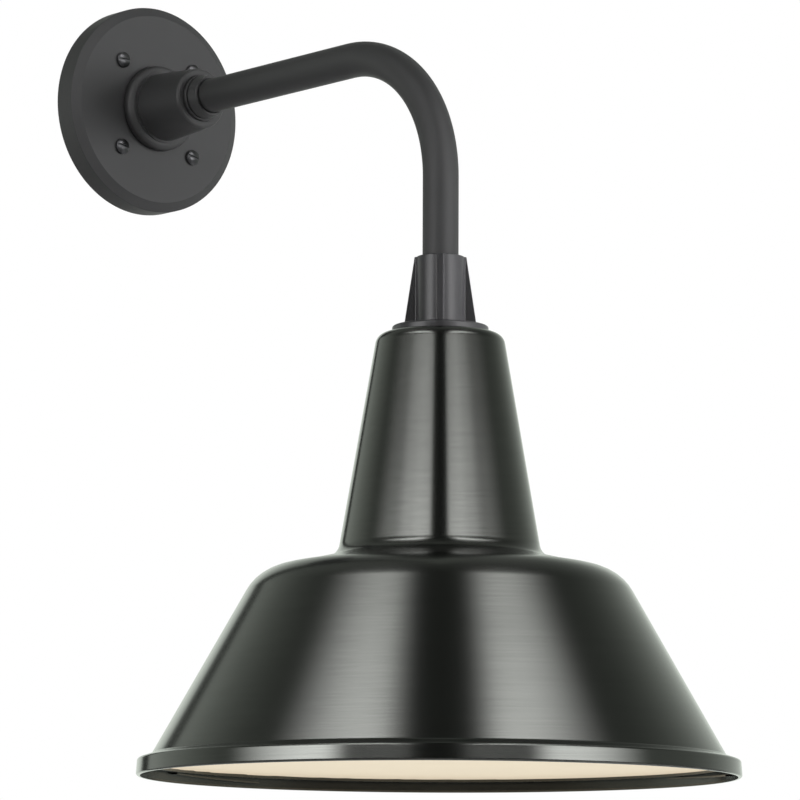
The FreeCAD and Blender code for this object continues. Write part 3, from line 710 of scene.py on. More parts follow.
@dataclass(frozen=True)
class Moulded:
    """Moulded plastic or rubber with a fine spark-eroded skin."""

    colour: Colour
    roughness: float = 0.5
    swing: float = 0.15
    grain: float = 0.35
    depth: float = 0.01
    flow: float = 12.0
    flow_levels: tuple[float, float] = (0.92, 1.06)

    def material(self) -> bpy.types.Material:
        """The moulding's material.

        Returns:
            The material, not named yet.
        """
        paint = Paint()
        place = paint.place()
        skin = paint.noise(place, self.grain)
        flow = paint.noise(place, self.flow)
        base = paint.mottle(flow, self.colour, *self.flow_levels)
        return paint.done(Base_Color=base, Roughness=self.roughness + (skin - 0.5) * self.swing,
                          Normal=paint.bump(skin, self.depth))


@dataclass(frozen=True)
class Glaze:
    """White porcelain under a clear glaze."""

    colour: Colour
    roughness: float = 0.32
    swing: float = 0.1
    wave: float = 9.0
    depth: float = 0.08
    speck: float = 0.8
    speck_edge: tuple[float, float] = (0.66, 0.74)
    speck_share: float = 0.35
    speck_level: float = 0.55
    coat_roughness: float = 0.06

    def material(self) -> bpy.types.Material:
        """The porcelain's material.

        Returns:
            The material, not named yet.
        """
        paint = Paint()
        place = paint.place()
        wave = paint.noise(place, self.wave)
        speck = paint.noise(place, self.speck).smooth(*self.speck_edge)
        base = paint.mottle(speck * self.speck_share, self.colour, 1.0, self.speck_level)
        return paint.done(Base_Color=base, Roughness=self.roughness + wave * self.swing,
                          Normal=paint.bump(wave, self.depth),
                          Coat_Weight=1.0, Coat_Roughness=self.coat_roughness)


@dataclass(frozen=True)
class Opal:
    """Opal plastic that spreads the light, with a faint cloudiness and moulded skin, and a painted glow
    where it gives out light that no lamp behind it gives.
    """

    colour: Colour
    # glow is a painted glow: emission that brightens the part as if lit from within
    glow: float = 0.0
    # body cuts the reflected colour to make room for the painted glow
    body: float = 1.0
    gloss: float = 0.5
    roughness: float = 0.4
    swing: float = 0.1
    cloud: float = 60.0
    levels: tuple[float, float] = (0.97, 1.02)
    skin: float = 0.6
    depth: float = 0.006

    def material(self) -> bpy.types.Material:
        """The opal plastic's material.

        Returns:
            The material, not named yet.
        """
        paint = Paint()
        place = paint.place()
        cloud = paint.noise(place, self.cloud, 3.0)
        skin = paint.noise(place, self.skin)
        low, high = self.levels
        # light is the colour of the painted glow; base is the colour that reflects
        base, light = (paint.mottle(cloud, self.colour, low * share, high * share)
                       for share in (self.body, 1.0))
        return paint.done(Base_Color=base, Roughness=self.roughness + (skin - 0.5) * self.swing,
                          Normal=paint.bump(skin, self.depth), Specular_IOR_Level=self.gloss,
                          Emission_Color=light, Emission_Strength=self.glow)


class Finish(Enum):
    """Every finish that the light wears, named as the record's slots."""

    POWDER_COAT = PowderCoat(tone(56, 56, 57))
    CAST_GREY = CastCoat(tone(74, 73, 76))
    BRONZE_LACQUER = BrushedLacquer((0.97, 1.0, 0.94))
    BLACK_RUBBER = Moulded(tone(30, 30, 30), roughness=0.8, depth=0.02)
    ZINC_STEEL = PlatedMetal(tone(186, 189, 192))
    BLACK_STEEL = PlatedMetal(tone(92, 92, 94), roughness=0.36)
    GREEN_STEEL = PlatedMetal(tone(64, 126, 82), roughness=0.42)
    BLACK_PLASTIC = Moulded(tone(28, 28, 29))
    WHITE_PLASTIC = Moulded(tone(226, 225, 220), roughness=0.42)
    GREEN_PLASTIC = Moulded(tone(38, 112, 62))
    PORCELAIN = Glaze(tone(236, 234, 226))
    CONTACT_BRASS = PlatedMetal(tone(203, 169, 96), roughness=0.3)
    LAMP_NICKEL = PlatedMetal(tone(198, 195, 188), roughness=0.24)
    OPAL_PLASTIC = Opal(tone(240, 238, 230))
    # The lens wears a painted glow, as if lit from within, though the lamp inside gives no light
    OPAL_LENS = Opal(tone(223, 208, 182), glow=0.82, body=0.3, gloss=0.15)

    @property
    def slot(self) -> str:
        """The record's slot."""
        return self.name.lower()

    @cache
    def material(self) -> bpy.types.Material:
        """The finish's material, made when it is first worn.

        Returns:
            The material, named for its slot.
        """
        material = self.value.material()
        material.name = self.slot + "_finish"
        return material


@dataclass
class Canopy:
    """The cover on the wall with its four screws, and what is inside it."""

    radius: float = 67.2
    side: float = 14.8
    depth: float = 17.94
    face_radius: float = 61.3
    cavity_radius: float = 61.2
    cavity_depth: float = 14.94
    edge: float = 0.5
    bore: float = 14.55
    groove: tuple[float, float, float] = (62.9, 65.5, 1.6)
    screw_place: float = 40.3
    screw_first: float = 45.0
    screw_turns: tuple[float, ...] = (24.0, -4.0, -16.0, -14.0)
    hole: float = 2.4
    head: float = 5.0
    head_height: float = 3.2
    dome_share: float = 0.55
    shank: float = 2.0
    shank_length: float = 13.0
    slot_width: float = 1.5
    slot_depth: float = 1.5
    slot_edge: float = 0.14
    dome_steps: int = 7

    def screw_places(self) -> list[Vector]:
        """Places of the four screws on the wall plane, in metres."""
        count = len(self.screw_turns)
        angles = [math.radians(self.screw_first + index * 360 / count) for index in range(count)]
        reach = self.screw_place * MM
        return [Vector((math.cos(angle), 0, math.sin(angle))) * reach for angle in angles]

    def cover(self) -> None:
        """The cast cover, drilled for its screws."""
        low, high, deep = self.groove
        cover = Piece("canopy_cover").turn(Axis.ARM, [
            (self.cavity_radius, 0), (low, 0), (low, deep), (high, deep), (high, 0),
            (self.radius, 0, 0.3), (self.radius, self.side, self.edge),
            (self.face_radius, self.depth, self.edge),
            (self.bore, self.depth), (self.bore, self.cavity_depth),
            (self.cavity_radius, self.cavity_depth, 1.0)], steps=256)
        for place in self.screw_places():
            cover.cut(Piece("drill").start(
                bpy.ops.mesh.primitive_cylinder_add, vertices=32, radius=self.hole * MM,
                depth=self.depth * 4 * MM, location=place, rotation=Axis.ARM.facing))
        cover.finish(Finish.POWDER_COAT, "wall_plate", "backplate")

    def screw(self) -> Piece:
        """One slotted round-head screw on the arm's axis, its slot level.

        Returns:
            The screw, in object mode.
        """
        dome = self.head_height * self.dome_share
        sphere = (self.head ** 2 + dome ** 2) / (2 * dome)
        top = self.depth + self.head_height
        sweep = math.asin(self.head / sphere)
        turns = [sweep * step / self.dome_steps for step in range(self.dome_steps + 1)]
        arc = [(sphere * math.sin(turned), top - sphere * (1 - math.cos(turned))) for turned in turns]
        screw = Piece("face_screw").turn(Axis.ARM, [
            *arc, (self.head, self.depth, 0.3), (self.shank, self.depth),
            (self.shank, self.depth - self.shank_length, 0.5), (0, self.depth - self.shank_length)],
            steps=64, closed=False)
        size = Vector((self.head * 3, self.slot_depth * 4, self.slot_width)) * MM
        slot = Piece("slot").start(bpy.ops.mesh.primitive_cube_add, size=1, scale=size,
                                   location=(0, -(top + self.slot_depth) * MM, 0))
        return screw.cut(slot).soften(self.slot_edge, angle=38)

    def screws(self) -> None:
        """The four screws, each with its slot turned as it was left."""
        pattern = self.screw()
        for index, (place, turned) in enumerate(zip(self.screw_places(), self.screw_turns)):
            twin = pattern.copy("face_screw_head_%d" % (index + 1))
            bpy.ops.transform.rotate(value=math.radians(turned), orient_axis="Y",
                                     center_override=(0, 0, 0))
            bpy.ops.transform.translate(value=place)
            twin.settle()
            twin.finish(Finish.BLACK_STEEL, "wall_plate", "face_screw_%d" % (index + 1))
        bpy.data.objects.remove(pattern.object)

    def build(self) -> None:
        """Builds the canopy and dresses what it covers."""
        self.cover()
        self.screws()
        dress(Finish.BLACK_RUBBER, "wall_gasket")
        dress(Finish.ZINC_STEEL, "mounting_plate", "posts")
        dress(Finish.GREEN_STEEL, "ground_screw")


@dataclass
class Hub:
    """The rounded collar and the tapered hub that carry the arm."""

    collar_bore: float = 14.55
    collar_radius: float = 27.7
    collar_low_round: float = 1.6
    collar_high_round: float = 3.8
    step_radius: float = 23.2
    face: float = 17.94
    collar_depth: float = 25.2
    base_depth: float = 26.0
    bore: float = 10.87
    spigot: float = 14.5
    spigot_depth: float = 10.5
    base_radius: float = 21.9
    tip_radius: float = 19.35
    depth: float = 64.7
    tip_round: float = 2.2
    socket: float = 15.3
    socket_depth: float = 1.4
    grub_depth: float = 44.0
    grub_radius: float = 2.55

    def build(self) -> None:
        """Builds the collar and the hub and dresses their fixings."""
        Piece("collar").turn(Axis.ARM, [
            (self.collar_bore, self.face), (self.collar_radius, self.face, self.collar_low_round),
            (self.collar_radius, self.collar_depth, self.collar_high_round),
            (self.step_radius, self.collar_depth), (self.step_radius, self.base_depth),
            (self.collar_bore, self.base_depth)]).finish(
                Finish.POWDER_COAT, "wall_plate", "collar_ring")
        seat = self.depth - self.socket_depth
        hub = Piece("hub_nose").turn(Axis.ARM, [
            (self.bore, self.spigot_depth), (self.spigot, self.spigot_depth),
            (self.spigot, self.base_depth), (self.base_radius, self.base_depth),
            (self.tip_radius, self.depth, self.tip_round), (self.socket, self.depth),
            (self.socket, seat), (self.bore, seat)])
        drill = Piece("drill").start(
            bpy.ops.mesh.primitive_cylinder_add, vertices=48, radius=self.grub_radius * MM,
            depth=self.base_radius * 2 * MM, rotation=(0, math.pi / 2, 0),
            location=(self.base_radius * MM, -self.grub_depth * MM, 0))
        hub.cut(drill).finish(Finish.POWDER_COAT, "wall_plate", "hub")
        dress(Finish.ZINC_STEEL, "hub_nut")
        dress(Finish.BLACK_STEEL, "set_screw")


@dataclass
class Arm:
    """The bent tube, its stepped ferrule and what is inside it."""

    radius: float = 10.8
    wall: float = 2.0
    bend: float = 85.0
    tail_depth: float = 7.5
    end_drop: float = 159.8
    groove: tuple[float, float, float] = (8.7, 10.2, 0.6)
    bend_steps: int = 40
    ferrule: tuple[tuple[float, ...], ...] = (
        (10.85, 63.6), (14.9, 63.6, 0.5), (14.9, 67.0, 0.5), (13.4, 67.0), (13.4, 68.0),
        (14.0, 68.0, 0.25), (14.0, 68.9), (12.9, 75.4, 0.5), (11.4, 75.4), (11.4, 73.4), (10.85, 73.4))

    def tube(self) -> None:
        """The tube: the outer skin out to the cap, and the bore back to the wall."""
        low, high, deep = self.groove
        bend_depth = REACH - self.bend
        inner = self.radius - self.wall
        tube = Piece("arm_pipe").start(
            bpy.ops.mesh.primitive_circle_add, vertices=96, radius=self.radius * MM,
            location=Axis.ARM.at(self.tail_depth), rotation=Axis.ARM.facing)
        tube.extrude(Axis.ARM.along * ((low - self.tail_depth) * MM))
        tube.shoulder(Axis.ARM, low, (self.radius - deep) / self.radius)
        tube.extrude(Axis.ARM.along * ((high - low) * MM))
        tube.shoulder(Axis.ARM, high, self.radius / (self.radius - deep))
        tube.extrude(Axis.ARM.along * ((bend_depth - high) * MM))
        self.spin(True)
        tube.extrude(Axis.SHADE.along * ((self.end_drop - self.bend) * MM))
        tube.shoulder(Axis.SHADE, self.end_drop, inner / self.radius)
        tube.extrude(-Axis.SHADE.along * ((self.end_drop - self.bend) * MM))
        self.spin(False)
        tube.extrude(-Axis.ARM.along * ((bend_depth - self.tail_depth) * MM))
        tube.shoulder(Axis.ARM, self.tail_depth, self.radius / inner)
        tube.weld()
        tube.face_out()
        tube.finish(Finish.POWDER_COAT, "arm", "arm_tube")

    def spin(self, outwards: bool) -> None:
        """Turns the open ring round the arm's bend, downwards or back up.

        Args:
            outwards: Whether the ring goes away from the wall and down.
        """
        centre = (0, -(REACH - self.bend) * MM, -self.bend * MM)
        bpy.ops.mesh.spin(steps=self.bend_steps, dupli=False, center=centre, axis=(1, 0, 0),
                          angle=-math.pi / 2 if outwards else math.pi / 2)

    def build(self) -> None:
        """Builds the tube and the ferrule and dresses what they carry."""
        self.tube()
        Piece("ferrule").turn(Axis.ARM, self.ferrule, steps=128).finish(
            Finish.POWDER_COAT, "arm", "arm_ferrule")
        dress(Finish.ZINC_STEEL, "retaining_clip")
        dress(Finish.BLACK_PLASTIC, "tube_bushing", "lead_live")
        dress(Finish.WHITE_PLASTIC, "lead_neutral")
        dress(Finish.GREEN_PLASTIC, "lead_ground")


@dataclass
class SocketCap:
    """The finned casting between the arm and the shade, and the fixings under it."""

    top: float = 133.8
    foot: float = 180.2
    bore: float = 10.85
    bore_foot: float = 159.8
    barrel: float = 14.4
    flange: float = 28.8
    flange_height: float = 4.4
    flange_round: float = 1.2
    gasket: tuple[float, float, float] = (21.0, 26.0, 1.2)
    nipple: float = 4.95
    fins: int = 4
    fin_width: float = 3.4
    fin_top: float = 15.5
    fin_foot: float = 21.7
    fin_step: float = 0.1
    fin_angle: float = 41.0
    fin_sink: float = 2.4
    fin_wing: float = 1.6
    fin_edge: float = 0.35
    root_round: float = 0.801

    def body(self) -> Piece:
        """The turned barrel and flange.

        Returns:
            Both as one piece, in edit mode.
        """
        flange_top = self.foot - self.flange_height
        low, high, deep = self.gasket
        return Piece("finned_cap").turn(Axis.SHADE, [
            (self.bore, self.top), (self.barrel, self.top, 0.5), (self.barrel, flange_top, 0.5),
            (self.flange, flange_top, self.flange_round), (self.flange, self.foot, 0.25),
            (high, self.foot), (high, self.foot - deep), (low, self.foot - deep), (low, self.foot),
            (self.nipple, self.foot), (self.nipple, self.bore_foot), (self.bore, self.bore_foot)])

    def fin(self) -> Piece:
        """One fin pointing along -Y: a web with a foot that hugs the barrel, drawn up and sloped.

        Returns:
            The fin, in edit mode.
        """
        half = self.fin_width / 2
        on_barrel = math.sqrt(self.barrel ** 2 - half ** 2)
        wing = self.fin_wing
        wing_fall = on_barrel - math.sqrt(self.barrel ** 2 - (half + wing) ** 2)
        flange_top = self.foot - self.flange_height
        height = flange_top - self.top - self.fin_step
        root = -(REACH + on_barrel) * MM
        fin = Piece("fin").start(bpy.ops.mesh.primitive_plane_add, size=self.fin_width * MM,
                                 location=(0, root - half * MM, -flange_top * MM))
        fin.select(Part.VERT, lambda point: point.y < root - SEAM)
        bpy.ops.transform.translate(value=(0, -(self.fin_foot - on_barrel - self.fin_width) * MM, 0))
        fin.select(Part.EDGE, lambda point: near(point.y, root))
        fin.extrude(Vector((0, self.fin_sink * MM, 0)))
        for side in (-1, 1):
            edge = side * half * MM
            fin.select(Part.EDGE, lambda point: near(point.x, edge) and point.y > root - SEAM)
            fin.extrude(Vector((side * wing * MM, 0, 0)))
            fin.select(Part.VERT, lambda point: abs(point.x) > half * MM + SEAM and near(point.y, root))
            bpy.ops.transform.translate(value=(0, wing_fall * MM, 0))
        bpy.ops.mesh.select_mode(type="FACE")
        bpy.ops.mesh.select_all(action="SELECT")
        fin.extrude(Vector((0, 0, height * MM)))
        tip = -(REACH + self.fin_foot) * MM
        ridge = -flange_top * MM + height * MM
        fin.select(Part.VERT, lambda point: near(point.y, tip) and near(point.z, ridge))
        bpy.ops.transform.translate(value=(0, (self.fin_foot - self.fin_top) * MM, 0))
        fin.face_out()
        fin.select(Part.EDGE, lambda point: near(abs(point.x), half * MM) and near(point.y, root))
        bpy.ops.mesh.bevel(offset_type="OFFSET", offset=self.root_round * MM, segments=6, profile=0.5,
                           affect="EDGES", clamp_overlap=False)
        return fin

    def build(self) -> None:
        """Builds the cap and dresses its fixings."""
        cap = self.body()
        for index in range(self.fins):
            fin = self.fin()
            fin.only()
            fin.soften(self.fin_edge, segments=3, angle=60)
            turned = math.radians(index * 360 / self.fins - self.fin_angle)
            bpy.ops.transform.rotate(value=-turned, orient_axis="Z", center_override=Axis.SHADE.origin)
            fin.settle()
            cap.join(fin)
        cap.finish(Finish.CAST_GREY, "arm", "socket_cap", crease=40)
        dress(Finish.BLACK_RUBBER, "cap_gasket")
        dress(Finish.ZINC_STEEL, "nipple", "shade_washer", "shade_nut", "holder_nut")


@dataclass
class Shade:
    """The spun shade, and the fittings inside its rim."""

    sheet: float = 1.2
    skin: tuple[tuple[float, ...], ...] = (
        (5.3, 180.2), (37.7, 180.2, 7.2), (60.48, 313.3, 9.5), (81.28, 318.1, 150.0),
        (107.64, 322.94, 29.0), (169.13, 431.87, 1.5), (177.4, 434.53, 1.7), (178.1, 444.3, 1.3),
        (175.7, 444.3))

    def build(self) -> None:
        """Spins the skin, gives it its thickness and dresses the rim's fittings."""
        shade = Piece("spun_shade").turn(Axis.SHADE, self.skin, steps=256, closed=False)
        shade.modify("SOLIDIFY", thickness=self.sheet * MM, offset=-1.0, use_even_offset=True,
                     use_quality_normals=True)
        shade.finish(Finish.BRONZE_LACQUER, "arm", "shade_neck", "shade_skirt", crease=50)
        dress(Finish.BLACK_RUBBER, "lens_gasket")
        dress(Finish.BRONZE_LACQUER, "ring_ramps")


@dataclass
class LensGroup:
    """The opal lens and the turning ring that holds it."""

    radius: float = 170.8
    top: float = 434.35
    thickness: float = 2.0
    edge: float = 0.4
    loops: tuple[float, float] = (60.0, 120.0)
    ring: tuple[tuple[float, ...], ...] = (
        (169.0, 436.65), (171.4, 436.65), (171.4, 435.25), (172.6, 435.25), (172.6, 436.65),
        (172.6, 438.05), (172.6, 438.15), (169.0, 438.15))
    wall: float = 172.6
    lug_drops: tuple[float, float] = (436.65, 438.05)
    lug_reach: float = 2.6
    lug_span: float = 8.0
    lug_margin: float = 0.2
    lug_first: float = -131.0
    lugs: int = 3
    slack: float = 0.05
    ring_edge: float = 0.2

    def lens(self) -> None:
        """The lens, a disc with softened edges."""
        foot = self.top + self.thickness
        flat = [(radius, self.top) for radius in (0, *self.loops)]
        upper = [*flat, (self.radius, self.top, self.edge)]
        lower = [(corner[0], foot, *corner[2:]) for corner in reversed(upper)]
        disc = Piece("opal_disc").turn(Axis.SHADE, upper + lower, closed=False)
        disc.finish(Finish.OPAL_LENS, "lens", "lens")

    def holder(self) -> None:
        """The ring, with its lugs drawn out of its wall."""
        ring = Piece("turning_ring").turn(Axis.SHADE, self.ring, steps=360)
        low, high = self.lug_drops
        reach = math.cos(math.radians(self.lug_span / 2 + self.lug_margin))
        for index in range(self.lugs):
            middle = math.radians(self.lug_first + index * 360 / self.lugs)
            facing = Vector((math.cos(middle), math.sin(middle), 0))

            def on_lug(point: Vector) -> bool:
                """Whether a corner lies on the wall where this lug stands.

                Args:
                    point: The corner.

                Returns:
                    Whether it does.
                """
                radius, drop = Axis.SHADE.place_of(point)
                away = (point - Axis.SHADE.at(drop)) / (radius * MM)
                if not low - self.slack < drop < high + self.slack:
                    return False
                return radius > self.wall - self.slack and away.dot(facing) > reach

            ring.select(Part.FACE, on_lug)
            ring.shoulder(Axis.SHADE, (low + high) / 2, 1 + self.lug_reach / self.wall)
        ring.soften(self.ring_edge, angle=50)
        ring.finish(Finish.BRONZE_LACQUER, "lens_ring", "lens_ring", crease=40)

    def build(self) -> None:
        """Builds the lens and its ring."""
        self.lens()
        self.holder()


@dataclass
class Lampholder:
    """The porcelain lampholder and its contacts."""

    def build(self) -> None:
        """Dresses the lampholder's nodes."""
        dress(Finish.ZINC_STEEL, "lampholder_cap")
        dress(Finish.GREEN_STEEL, "ground_terminal")
        dress(Finish.PORCELAIN, "lampholder_body")
        dress(Finish.CONTACT_BRASS, "screw_shell", "centre_contact")


@dataclass
class Lamp:
    """The screw lamp."""

    def build(self) -> None:
        """Dresses the lamp's nodes."""
        dress(Finish.CONTACT_BRASS, "lamp_eyelet")
        dress(Finish.BLACK_PLASTIC, "lamp_insulator")
        dress(Finish.LAMP_NICKEL, "lamp_base")
        dress(Finish.WHITE_PLASTIC, "lamp_body")
        dress(Finish.OPAL_PLASTIC, "lamp_dome")


def towards(forward: float, side: float, up: float) -> Vector:
    """A vector given towards the camera, to its right and up."""
    left, out = HEADING
    return Vector((out * side - left * forward, -left * side - out * forward, up))


class Lights(Enum):
    """What a softbox lights, with the kinds of ray that it hides from."""

    SHEEN = ("diffuse",)
    BODY = ("glossy",)


@dataclass(frozen=True)
class Softbox:
    """One soft panel that faces the light; its sizes are shares of its distance.

    Its sides come in by the tapers for each step up, and its edges fade over four widths: the
    inner, the outer, the lower and the upper one.
    """

    name: str
    side: int
    turn: float
    rise: float
    level: float
    across: tuple[float, float]
    along: tuple[float, float]
    fades: tuple[float, float, float, float]
    tapers: tuple[float, float] = (0.0, 0.0)
    distance: float = 2.4
    lights: Lights = Lights.SHEEN

    def axes(self) -> tuple[Vector, Vector, Vector]:
        """Directions across, along and away from the light.

        Returns:
            The three directions, each of length 1.
        """
        turn, rise = math.radians(self.turn), math.radians(self.rise)
        level = towards(math.cos(turn), self.side * math.sin(turn), 0)
        plumb = towards(0, 0, 1)
        out = towards(-math.sin(turn), self.side * math.cos(turn), 0)
        up = plumb * math.cos(rise) - level * math.sin(rise)
        return out, up, plumb * math.sin(rise) + level * math.cos(rise)

    def glow(self, nodes: Nodes, middle: Vector) -> Signal:
        """The panel's brightness, faded towards its edges.

        Args:
            nodes: The lamp's nodes.
            middle: The foot of the line from the target.

        Returns:
            The brightness from 0 to 1.
        """
        across, along, away = self.axes()
        where = nodes.node("ShaderNodeNewGeometry", {}, {}, "Position")
        place = nodes.vector("SUBTRACT", where, tuple(middle))
        out = nodes.dot(place, tuple(across / self.distance))
        up = nodes.dot(place, tuple(along / self.distance))
        inner, outer, low, high = self.fades
        left, right, foot, top = *self.across, *self.along
        risen = up - foot
        sides = (out - risen * self.tapers[0]).smooth(left, left + inner) \
            * (1 - (out + risen * self.tapers[1]).smooth(right - outer, right))
        return sides * up.smooth(foot, foot + low) * (1 - up.smooth(top - high, top))

    def build(self, target: Vector) -> None:
        """Hangs the panel at its distance from the target.

        Args:
            target: The point that the panel faces.
        """
        across, along, away = self.axes()
        foot = target + self.distance * away
        middle = foot + self.distance * (across * sum(self.across) / 2 + along * sum(self.along) / 2)
        data = bpy.data.lights.new(self.name, "AREA")
        data.shape = "RECTANGLE"
        data.size = self.distance * (self.across[1] - self.across[0])
        data.size_y = self.distance * (self.along[1] - self.along[0])
        data.energy = self.level * math.pi * data.size * data.size_y
        data.use_nodes = True
        nodes = Nodes(data.node_tree)
        nodes.feed(data.node_tree.nodes["Emission"].inputs["Strength"], self.glow(nodes, foot))
        lamp = bpy.data.objects.new(self.name, data)
        bpy.context.scene.collection.objects.link(lamp)
        turned = Matrix((across * self.side, along, away)).transposed().to_4x4()
        lamp.matrix_world = Matrix.Translation(middle) @ turned
        lamp.visible_camera = False
        for kind in self.lights.value:
            setattr(lamp, "visible_" + kind, False)


@dataclass(frozen=True)
class Flank:
    """The turns and levels of the panels on one side of the light."""

    name: str
    side: int
    neck_turn: float
    skirt_turn: float
    strip_level: float
    body_turn: float
    body_level: float


@dataclass
class Studio:
    """The camera, the floor and the soft light."""

    eye: tuple[float, float, float] = (-1707.61, -2268.11, -584.75)
    yaw: float = -40.410
    pitch: float = 7.9645
    roll: float = 0.2446
    lens: float = 198.913
    sensor: float = 36.0
    clip: tuple[float, float] = (0.05, 50.0)
    floor_middle: tuple[float, float, float] = (0.0, -0.3, -1.6)
    floor_size: float = 14.0
    floor_grey: float = 0.8
    floor_roughness: float = 0.9
    floor_white: float = 0.62
    target: tuple[float, float, float] = (0.0, -0.2992, -0.33)
    fill: float = 0.13
    tent_radius: float = 4.2
    tent_front: float = 0.045
    tent_sides: tuple[tuple[float, float], ...] = (
        (-180, 1.0), (-153.5, 0.95), (-151.5, 0.02), (-143.5, 0.02), (-141, 0.7), (-130, 0.78),
        (-117, 0.75), (-105, 0.6), (-90, 0.36), (90, 0.36), (105, 0.4), (120, 0.52), (130, 0.62),
        (142, 0.68), (158, 0.74), (166, 0.95), (180, 1.0))
    tent_top: float = 0.42
    tent_turn: tuple[float, float] = (0.05, 0.72)
    tent_rise: tuple[float, float] = (0.2, 0.75)
    tent_tint: Colour = (0.93, 1.0, 0.91)
    flanks: tuple[Flank, ...] = (Flank("left", -1, 28.0, 51.5, 7.5, 120.0, 3.4),
                                 Flank("right", 1, 27.2, 53.5, 6.7, 86.0, 12.0))

    def camera(self) -> None:
        """The camera, at the photograph's place and angle."""
        yaw, pitch, roll = (math.radians(turned) for turned in (self.yaw, self.pitch, self.roll))
        level = math.cos(pitch)
        ahead = Vector((-math.sin(yaw) * level, math.cos(yaw) * level, math.sin(pitch)))
        right = ahead.cross(Vector((0, 0, 1))).normalized()
        up = right.cross(ahead)
        across = math.cos(roll) * right + math.sin(roll) * up
        above = -math.sin(roll) * right + math.cos(roll) * up
        data = bpy.data.cameras.new("camera")
        data.lens = self.lens
        data.sensor_width = self.sensor
        data.clip_start, data.clip_end = self.clip
        camera = bpy.data.objects.new("camera", data)
        bpy.context.scene.collection.objects.link(camera)
        turn = Matrix((across, above, -ahead)).transposed().to_4x4()
        camera.matrix_world = Matrix.Translation(Vector(self.eye) * MM) @ turn
        bpy.context.scene.camera = camera

    def world(self) -> None:
        """White to the camera and in reflections, and a low even fill for the rest."""
        world = bpy.data.worlds.new("studio")
        bpy.context.scene.world = world
        world.use_nodes = True
        nodes = Nodes(world.node_tree)
        kinds = ("Is Camera Ray", "Is Glossy Ray", "Is Transmission Ray")
        camera, glossy, through = (nodes.node("ShaderNodeLightPath", {}, {}, kind) for kind in kinds)
        seen = nodes.maths("MAXIMUM", nodes.maths("MAXIMUM", camera, glossy), through)
        ground = world.node_tree.nodes["Background"]
        ground.inputs["Color"].default_value = (1, 1, 1, 1)
        nodes.feed(ground.inputs["Strength"], self.fill + seen * (1 - self.fill))

    def floor(self) -> None:
        """A plain pale floor well below the light, clear from below for a look at the lens."""
        floor = Piece("floor").start(bpy.ops.mesh.primitive_plane_add, size=self.floor_size,
                                     location=self.floor_middle)
        floor.only()
        paint = Paint()
        paint.material.name = "pale_floor"
        camera = paint.node("ShaderNodeLightPath", {}, {}, "Is Camera Ray")
        under = paint.node("ShaderNodeNewGeometry", {}, {}, "Backfacing")
        clear = paint.node("ShaderNodeBsdfTransparent", {}, {})
        top = Signal(paint, paint.shader.outputs[0])
        paint.feed(paint.output.inputs["Surface"],
                   paint.node("ShaderNodeMixShader", {}, {0: under, 1: top, 2: clear}))
        floor.object.data.materials.append(paint.done(
            Base_Color=(self.floor_grey,) * 3, Roughness=self.floor_roughness,
            Emission_Color=(1, 1, 1), Emission_Strength=camera * self.floor_white))

    def tent(self) -> None:
        """The surround that only reflections show: dim in front, pale at the sides, white behind."""
        middle = Vector(self.target)
        tent = Piece("dim_surround").start(
            bpy.ops.mesh.primitive_uv_sphere_add, segments=96, ring_count=48, radius=self.tent_radius,
            location=middle)
        tent.only()
        material = bpy.data.materials.new("dim_cloth")
        material.use_nodes = True
        nodes = Nodes(material.node_tree)
        nodes.tree.nodes.clear()
        where = nodes.node("ShaderNodeNewGeometry", {}, {}, "Position")
        where = nodes.vector("SUBTRACT", where, tuple(middle))
        reach = 1 / self.tent_radius
        ahead = nodes.dot(where, tuple(towards(reach, 0, 0)))
        beside = nodes.dot(where, tuple(towards(0, reach, 0)))
        turned = nodes.maths("ARCTAN2", beside, ahead) / math.tau + 0.5
        stops = [(angle / 360 + 0.5, level) for angle, level in self.tent_sides]
        sides = nodes.node("ShaderNodeValToRGB", {"stops": stops}, {"Fac": turned})
        above = nodes.dot(where, (0, 0, reach))
        sides = sides * (1 - (1 - self.tent_top) * above.smooth(*self.tent_rise))
        level = self.tent_front + (sides - self.tent_front) * (1 - ahead.smooth(*self.tent_turn))
        glow = nodes.node("ShaderNodeEmission", {}, {"Color": self.tent_tint, "Strength": level})
        nodes.node("ShaderNodeOutputMaterial", {}, {"Surface": glow})
        material.cycles.emission_sampling = "NONE"
        tent.object.data.materials.append(material)
        for kind in ("camera", "diffuse", "transmission", "volume_scatter", "shadow"):
            setattr(tent.object, "visible_" + kind, False)

    def softboxes(self) -> list[Softbox]:
        """The panels that the metal reflects and those that light the coats.

        Returns:
            The panels.
        """
        plain = {"across": (-0.3, 0.3), "fades": (0.1, 0.1, 0.1, 0.1), "lights": Lights.BODY}
        boxes = []
        for flank in self.flanks:
            name, side = flank.name, flank.side
            boxes += [
                Softbox(name + "_neck_panel", side, flank.neck_turn, rise=27.0, level=9.4,
                        across=(-0.33, 0.51), along=(-0.18, 0.075), fades=(0.08, 0.56, 0.05, 0.2)),
                Softbox(name + "_skirt_panel", side, flank.skirt_turn, rise=63.0, level=8.5,
                        across=(-0.72, 0.68), along=(-0.3, 0.015), fades=(0.34, 0.46, 0.08, 0.2),
                        tapers=(1.3, 2.5)),
                Softbox(name + "_strip", side, turn=53.0, rise=9.0, level=flank.strip_level,
                        across=(-0.38, 0.62), along=(-0.2, 0.22), fades=(0.22, 0.7, 0.1, 0.12)),
                Softbox(name + "_side", side, flank.body_turn, rise=8.0, level=flank.body_level,
                        along=(-0.35, 0.35), **plain)]
        boxes.append(Softbox("top", 1, turn=175.0, rise=55.0, level=5.0, along=(-0.3, 0.3), **plain))
        return boxes

    def build(self) -> None:
        """Sets up the scene round the light."""
        self.camera()
        self.world()
        self.floor()
        self.tent()
        for box in self.softboxes():
            box.build(Vector(self.target))
        bpy.context.scene.view_settings.view_transform = "Standard"


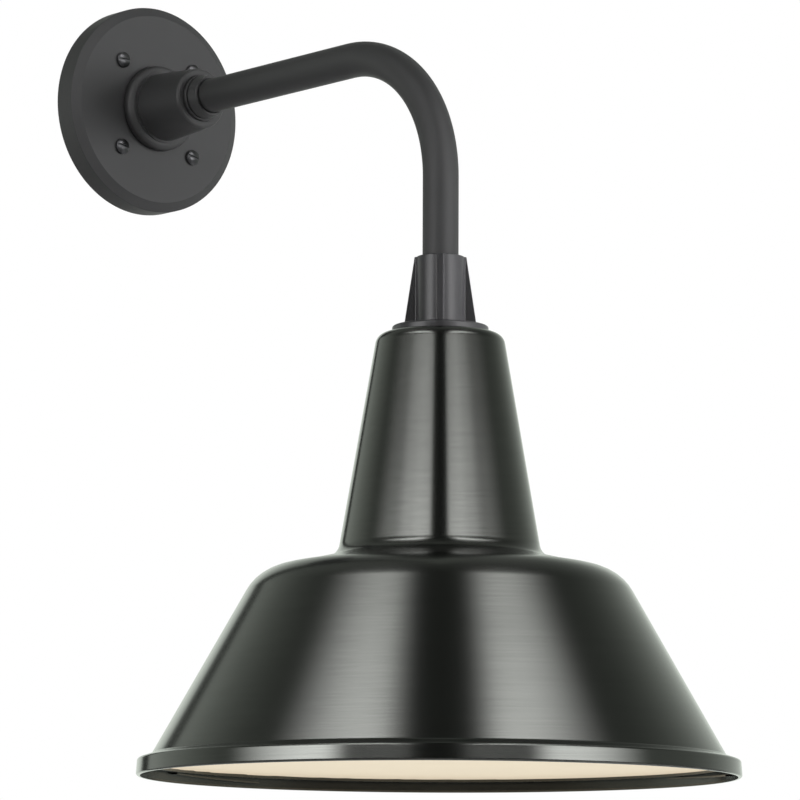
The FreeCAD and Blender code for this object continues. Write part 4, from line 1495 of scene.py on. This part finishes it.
def main() -> None:
    """Builds the light piece by piece, then the studio."""
    logging.basicConfig(level=logging.INFO, format="%(message)s")
    Studio().build()
    for assembly in (Canopy(), Hub(), Arm(), SocketCap(), Shade(), LensGroup(), Lampholder(), Lamp()):
        assembly.build()
        log.info("%s: built", type(assembly).__name__)


if __name__ == "__main__":
    main()
